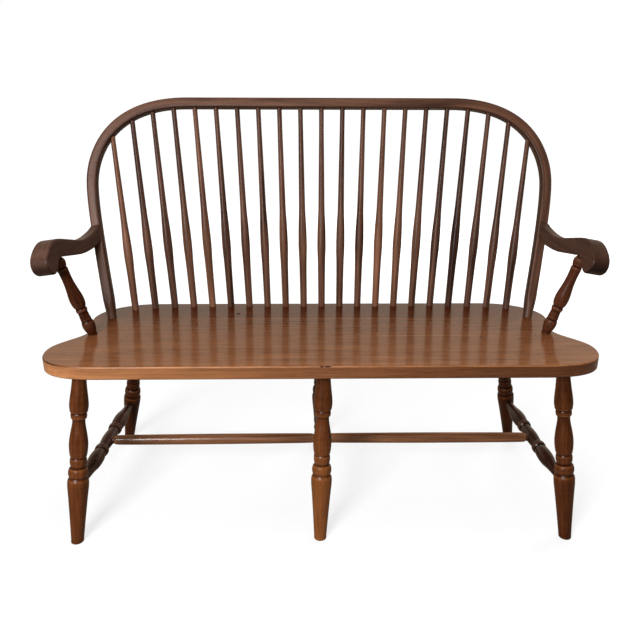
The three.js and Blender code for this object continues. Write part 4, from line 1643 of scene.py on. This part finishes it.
@dataclass(frozen=True)
class UndercarriagePlan:
    """Places and sizes of the legs and the stretchers, in millimetres, with tones at foot and top."""

    underside: float = SeatPlan().top - SeatPlan().thickness
    leg_length: float = 410.0
    stretcher_share: float = 0.329
    cross_seated: float = 1.0
    cross_length: float = 371.0
    cross_radius: float = 17.8
    cross_middle_radius: float = 16.0
    rod_length: float = 525.0
    rod_radius: float = 13.6
    rod_seated: float = 3.2
    rod_share: float = 0.49
    # Tones darken the cross stretchers towards the back, under the seat, and towards the right, as painted
    # shade.
    cross_tones: tuple[Pair, ...] = ((0.25, -0.1), (0.05, -0.25), (-0.15, -0.4))
    rod_tones: tuple[Pair, ...] = ((0.15, 0.0), (0.05, 0.0))
    # Tones darken the rear legs and the tops of the front legs as painted shade under the seat, and the right
    # front leg as painted shade away from the light on the left.
    legs: tuple[LegPlace, ...] = (
        LegPlace("leg_front_left", (-545.6, 42.6), (-574.5, -36.7), 24.2, 1.6, (0.05, -0.3)),
        LegPlace("leg_front_middle", (2.3, 47.3), (-6.3, -32.0), 24.2, 0.0, (0.6, -0.2)),
        LegPlace("leg_front_right", (545.6, 42.6), (574.5, -36.7), 24.2, 1.6, (-0.8, -0.65)),
        LegPlace("leg_rear_left", (-485.0, 354.0), (-563.0, 432.5), 23.0, 1.6, (-1.6, -1.9)),
        LegPlace("leg_rear_middle", (0.7, 354.0), (0.7, 435.2), 23.0, 0.0, (-1.6, -1.9)),
        LegPlace("leg_rear_right", (485.0, 354.0), (563.0, 432.5), 23.0, 1.6, (-1.6, -1.9)),
    )

    def ends(self, leg: LegPlace) -> tuple[Vector, Vector]:
        """Foot and top of a leg, in metres."""
        return DATUM.at(*leg.foot, 0), DATUM.at(*leg.top, self.underside)

    def joint(self, leg: LegPlace) -> Vector:
        """Where a leg takes its cross stretcher, in metres."""
        foot, top = self.ends(leg)
        return foot.lerp(top, self.stretcher_share) - Vector((math.copysign(leg.inward * MM, foot.x), 0, 0))


def between(node: str, start: Vector, end: Vector, insets: Pair, tones: Pair) -> Placing:
    """A placing whose ends are drawn in from two joints by distances in millimetres."""
    along = (end - start).normalized() * MM
    return Placing(node, start + along * insets[0], end - along * insets[1], tones)


@dataclass
class Undercarriage:
    """Legs and stretchers."""

    plan: UndercarriagePlan = UndercarriagePlan()

    def build(self) -> None:
        """Turn and place the legs, the cross stretchers and the long rods."""
        plan = self.plan
        for seed, row in ((1, plan.legs[:3]), (5, plan.legs[3:])):
            legs = TurnedSet(profile=LEG_PROFILE, radius=row[0].radius, length=plan.leg_length, sides=44,
                             finish="legs", cut_level=True, seed=seed)
            legs.build([Placing(leg.node, *plan.ends(leg), leg.tones) for leg in row])
        joints = [plan.joint(leg) for leg in plan.legs]
        crosses = []
        for k, word in enumerate(("left", "middle", "right")):
            insets = tuple(leg.radius - plan.cross_seated for leg in (plan.legs[k], plan.legs[k + 3]))
            node = f"cross_stretcher_{word}"
            crosses.append(between(node, joints[k], joints[k + 3], insets, plan.cross_tones[k]))
        TurnedSet(profile=CROSS_PROFILE, radius=plan.cross_radius, length=plan.cross_length, sides=36,
                  step=3.0, finish="cross_stretchers", seed=8).build(crosses)
        middles = [joints[k].lerp(joints[k + 3], plan.rod_share) for k in range(3)]
        inset = plan.cross_middle_radius - plan.rod_seated
        rods = [
            between(f"long_stretcher_{word}", middles[k], middles[k + 1], (inset, inset), plan.rod_tones[k])
            for k, word in enumerate(("left", "right"))
        ]
        TurnedSet(profile=ROD_PROFILE, radius=plan.rod_radius, length=plan.rod_length, sides=32,
                  step=14.0, finish="long_stretchers", seed=12).build(rods)


@dataclass
class Back:
    """The row of spindles, numbered from the left, with tones at foot and top."""

    bow: BowPlan = BowPlan()
    per_side: int = 10
    end_gap: float = 43.7
    end_top_gap: float = 41.0
    growth: float = 0.15
    offset: float = 3.0
    setback: float = 381.0
    straight_share: float = 0.61
    end_forward: float = 23.0
    spindle_radius: float = 11.3
    spindle_length: float = 520.0
    tries: int = 40
    tones: tuple[Pair, ...] = (
        (0.3, 0.5), (-0.2, -0.9), (0.05, -0.2), (0.15, -0.05), (0.4, 0.1), (-0.5, -0.45), (0.1, 0.0),
        (0.2, -0.15), (0.3, 0.1), (0.2, -0.1), (0.2, -0.2), (0.15, -0.25), (0.1, 0.1), (0.75, 0.1),
        (0.4, 0.1), (0.15, -0.05), (-0.1, -0.3), (-0.75, -0.8), (-0.3, -0.2), (0.1, -0.1), (0.0, -0.3),
    )

    def foot(self, index: int) -> Pair:
        """Place of a spindle's foot on the seat.

        Args:
            index: Number of the spindle from the middle one, below 0 on the left.

        Returns:
            How far out and how far back it stands.
        """
        half = self.bow.foot_half - self.end_gap
        steps = abs(index)
        pitch = half / self.per_side - self.per_side * self.growth
        out = steps * (pitch + self.growth * steps)
        straight = half * self.straight_share
        past = max(0.0, out - straight) / (half - straight)
        return self.offset + math.copysign(out, index), self.setback - self.end_forward * past ** 2

    def mouth(self, index: int) -> Vector:
        """Where a spindle meets the inner face of the bow.

        Args:
            index: Number of the spindle from the middle one, below 0 on the left.

        Returns:
            Its place in the frame, in metres.
        """
        line = [Vector(point) for point in self.bow.line()]
        foot = self.foot(index)[0]
        top = self.offset + index * (self.bow.widest_half - self.end_top_gap) / self.per_side
        inner = self.bow.top_rise - self.bow.width / 2
        rise = self.bow.widest_rise
        spot = Vector((0, 0))
        for _ in range(self.tries):
            spot = Vector((foot + (top - foot) * rise / inner, rise))
            rise += self._gap(spot, line) - self.bow.width / 2
        return self.bow.place(spot.x, spot.y, 0)

    @staticmethod
    def _gap(spot: Vector, line: Sequence[Vector]) -> float:
        """Distance from a spot to the bow's middle line.

        Args:
            spot: The spot, across and up the bow's plane.
            line: Points of the middle line.

        Returns:
            The shortest distance.
        """
        best = math.inf
        for start, end in zip(line, line[1:]):
            run = end - start
            share = clamp((spot - start).dot(run) / run.length_squared)
            best = min(best, (spot - start - run * share).length)
        return best

    def build(self) -> None:
        """Turn one spindle and set a copy of it in each place."""
        placings = []
        for number, tones in enumerate(self.tones):
            index = number - self.per_side
            foot = DATUM.at(*self.foot(index), self.bow.seat_top)
            placings.append(Placing(f"spindle_{number + 1:02d}", foot, self.mouth(index), tones))
        TurnedSet(profile=SPINDLE_PROFILE, radius=self.spindle_radius, length=self.spindle_length, sides=26,
                  step=13.0, finish="spindles", seed=20).build(placings)


# Studio


@dataclass(frozen=True)
class Lamp:
    """A square soft light: its place and side in metres, its power in watts, and whether gloss shows it."""

    name: str
    place: Triple
    side: float
    power: float
    mirrored: bool = True


@dataclass(frozen=True)
class Studio:
    """A white floor and backdrop, soft lights and the camera of the photograph.

    Each rise is the place where a brightness turns, and how softly. Heights of the surroundings are
    parts of a direction of length 1. Sizes of the camera are pixels of the photograph.
    """

    focal: float = 701.97
    frame_width: float = 640.0
    off_centre: Pair = (2.106, -0.573)
    eye: Triple = (-33.44, -1385.11, 1090.04)
    pitch: float = math.radians(21.63)
    yaw: float = math.radians(1.24)
    roll: float = math.radians(0.27)
    sensor: float = 36.0
    nearest: float = 0.05
    surround: float = 0.07
    surround_behind: float = 0.3
    reflected: Colour = srgb(255, 235, 212)
    floor_reflected: Colour = srgb(255, 226, 196)
    room_side: float = 0.14
    room_rise: Pair = (0.35, 0.9)
    overhead: float = 0.3
    overhead_rise: Pair = (0.45, 0.3)
    skirting: float = 0.8
    skirting_rise: Pair = (0.39, 0.12)
    floor_size: float = 30.0
    floor_drop: float = 0.0005
    floor_shade: float = 0.3
    floor_near: float = 0.73
    floor_far: float = 1.0
    floor_rise: Pair = (1.7, 1.6)
    floor_gloss: float = 0.06
    aim: Triple = (0.0, 0.0, 0.45)
    lamps: tuple[Lamp, ...] = (
        Lamp("key", (-1.3, -2.65, 1.85), 1.1, 112),
        Lamp("top", (0.2, -0.2, 3.0), 1.1, 19, mirrored=False),
        Lamp("back", (0.7, 2.9, 1.4), 1.6, 56, mirrored=False),
        Lamp("side", (2.6, 1.4, 1.4), 1.2, 30, mirrored=False),
    )

    def build(self) -> None:
        """Set up floor, world, lights and camera."""
        self._floor()
        self._world()
        for lamp in self.lamps:
            self._lamp(lamp)
        self._camera()
        bpy.context.scene.view_settings.view_transform = "Standard"
        LOG.info("studio ready")

    def _floor(self) -> None:
        """A plain pale floor that keeps the bench's shadow and meets the backdrop without a line."""
        Shop.clear()
        bpy.ops.mesh.primitive_plane_add(size=self.floor_size, location=(0, 0, -self.floor_drop))
        floor = bpy.context.active_object
        floor.name = "studio_floor"
        material = bpy.data.materials.new("studio_white")
        graph = Graph(material)
        away = graph.length(graph.coordinates())
        glow = away.above(*self.floor_rise) * (self.floor_far - self.floor_near) + self.floor_near
        camera, glossy, transmission = self._rays(graph)
        glow = glow * (camera + transmission + glossy * self.floor_gloss).clamped()
        shades = [tuple(part * self.floor_shade for part in colour[:3]) + (1,)
                  for colour in (WHITE, self.floor_reflected)]
        matt = graph.add("ShaderNodeBsdfDiffuse", {}, {"Color": graph.mix(glossy, *shades)})
        tint = graph.mix(glossy, WHITE, self.floor_reflected)
        light = graph.add("ShaderNodeEmission", {}, {"Color": tint, "Strength": glow})
        graph.surface(graph.add("ShaderNodeAddShader", {}, {0: matt.outputs[0], 1: light.outputs[0]}))
        floor.data.materials.append(material)

    @staticmethod
    def _rays(graph: Graph) -> tuple[Wire, ...]:
        """Which rays look: the camera's, a reflection's, or one seen through glass."""
        rays = graph.add("ShaderNodeLightPath", {}, {}).outputs
        return tuple(Wire(graph, rays[f"Is {kind} Ray"]) for kind in ("Camera", "Glossy", "Transmission"))

    def _world(self) -> None:
        """White to the eye; in reflections, white behind the bench and dimmer overhead and in front."""
        world = bpy.data.worlds.new("studio_world")
        bpy.context.scene.world = world
        graph = Graph(world)
        camera, glossy, transmission = self._rays(graph)
        parts = graph.add("ShaderNodeSeparateXYZ", {}, {0: graph.coordinates("Generated")}).outputs
        backward, upward = Wire(graph, parts["Y"]), Wire(graph, parts["Z"])
        backdrop = backward.above(*self.room_rise)
        behind = backdrop * (1 - self.room_side) + self.room_side
        high = upward.above(*self.overhead_rise) * (self.overhead - 1) + 1
        low = upward.above(*self.skirting_rise) * (1 - self.skirting) + self.skirting
        level = (camera + transmission).clamped() + glossy * (behind * high * low)
        seen = (camera + glossy + transmission).clamped()
        level = level + (1 - seen) * (backdrop * (self.surround_behind - self.surround) + self.surround)
        colour = graph.mix(glossy, WHITE, self.reflected)
        glow = graph.add("ShaderNodeBackground", {}, {"Color": colour, "Strength": level})
        graph.add("ShaderNodeOutputWorld", {}, {"Surface": glow.outputs[0]})

    def _lamp(self, lamp: Lamp) -> None:
        """Hang a square soft light that looks at the bench.

        Args:
            lamp: The light's place, size and power.
        """
        data = bpy.data.lights.new(lamp.name, "AREA")
        data.shape = "SQUARE"
        data.size = lamp.side
        data.energy = lamp.power
        light = bpy.data.objects.new(lamp.name, data)
        light.location = lamp.place
        light.visible_glossy = lamp.mirrored
        light.rotation_euler = (Vector(self.aim) - Vector(lamp.place)).to_track_quat("-Z", "Y").to_euler()
        bpy.context.scene.collection.objects.link(light)

    def _camera(self) -> None:
        """The photograph's camera."""
        data = bpy.data.cameras.new("photo_camera")
        data.sensor_width = self.sensor
        data.lens = self.focal / self.frame_width * data.sensor_width
        data.shift_x = -self.off_centre[0] / self.frame_width
        data.shift_y = self.off_centre[1] / self.frame_width
        data.clip_start = self.nearest
        level = Vector((math.cos(self.yaw), -math.sin(self.yaw), 0))
        forward = UP.cross(level)
        ahead = forward * math.cos(self.pitch) - UP * math.sin(self.pitch)
        upright = level.cross(ahead)
        right = level * math.cos(self.roll) + upright * math.sin(self.roll)
        top = upright * math.cos(self.roll) - level * math.sin(self.roll)
        turn = Matrix((right, top, -ahead)).transposed().to_4x4()
        camera = bpy.data.objects.new("photo_camera", data)
        camera.matrix_world = Matrix.Translation(DATUM.at(*self.eye)) @ turn
        bpy.context.scene.collection.objects.link(camera)
        bpy.context.scene.camera = camera


def main() -> None:
    """Build the studio, then the bench."""
    logging.basicConfig(level=logging.INFO, format="%(name)s: %(message)s")
    for part in (Studio(), Seat(), Bow(), Back(), Undercarriage(), Arms(), Fastenings()):
        part.build()
    LOG.info("wrote the boxes")


if __name__ == "__main__":
    main()
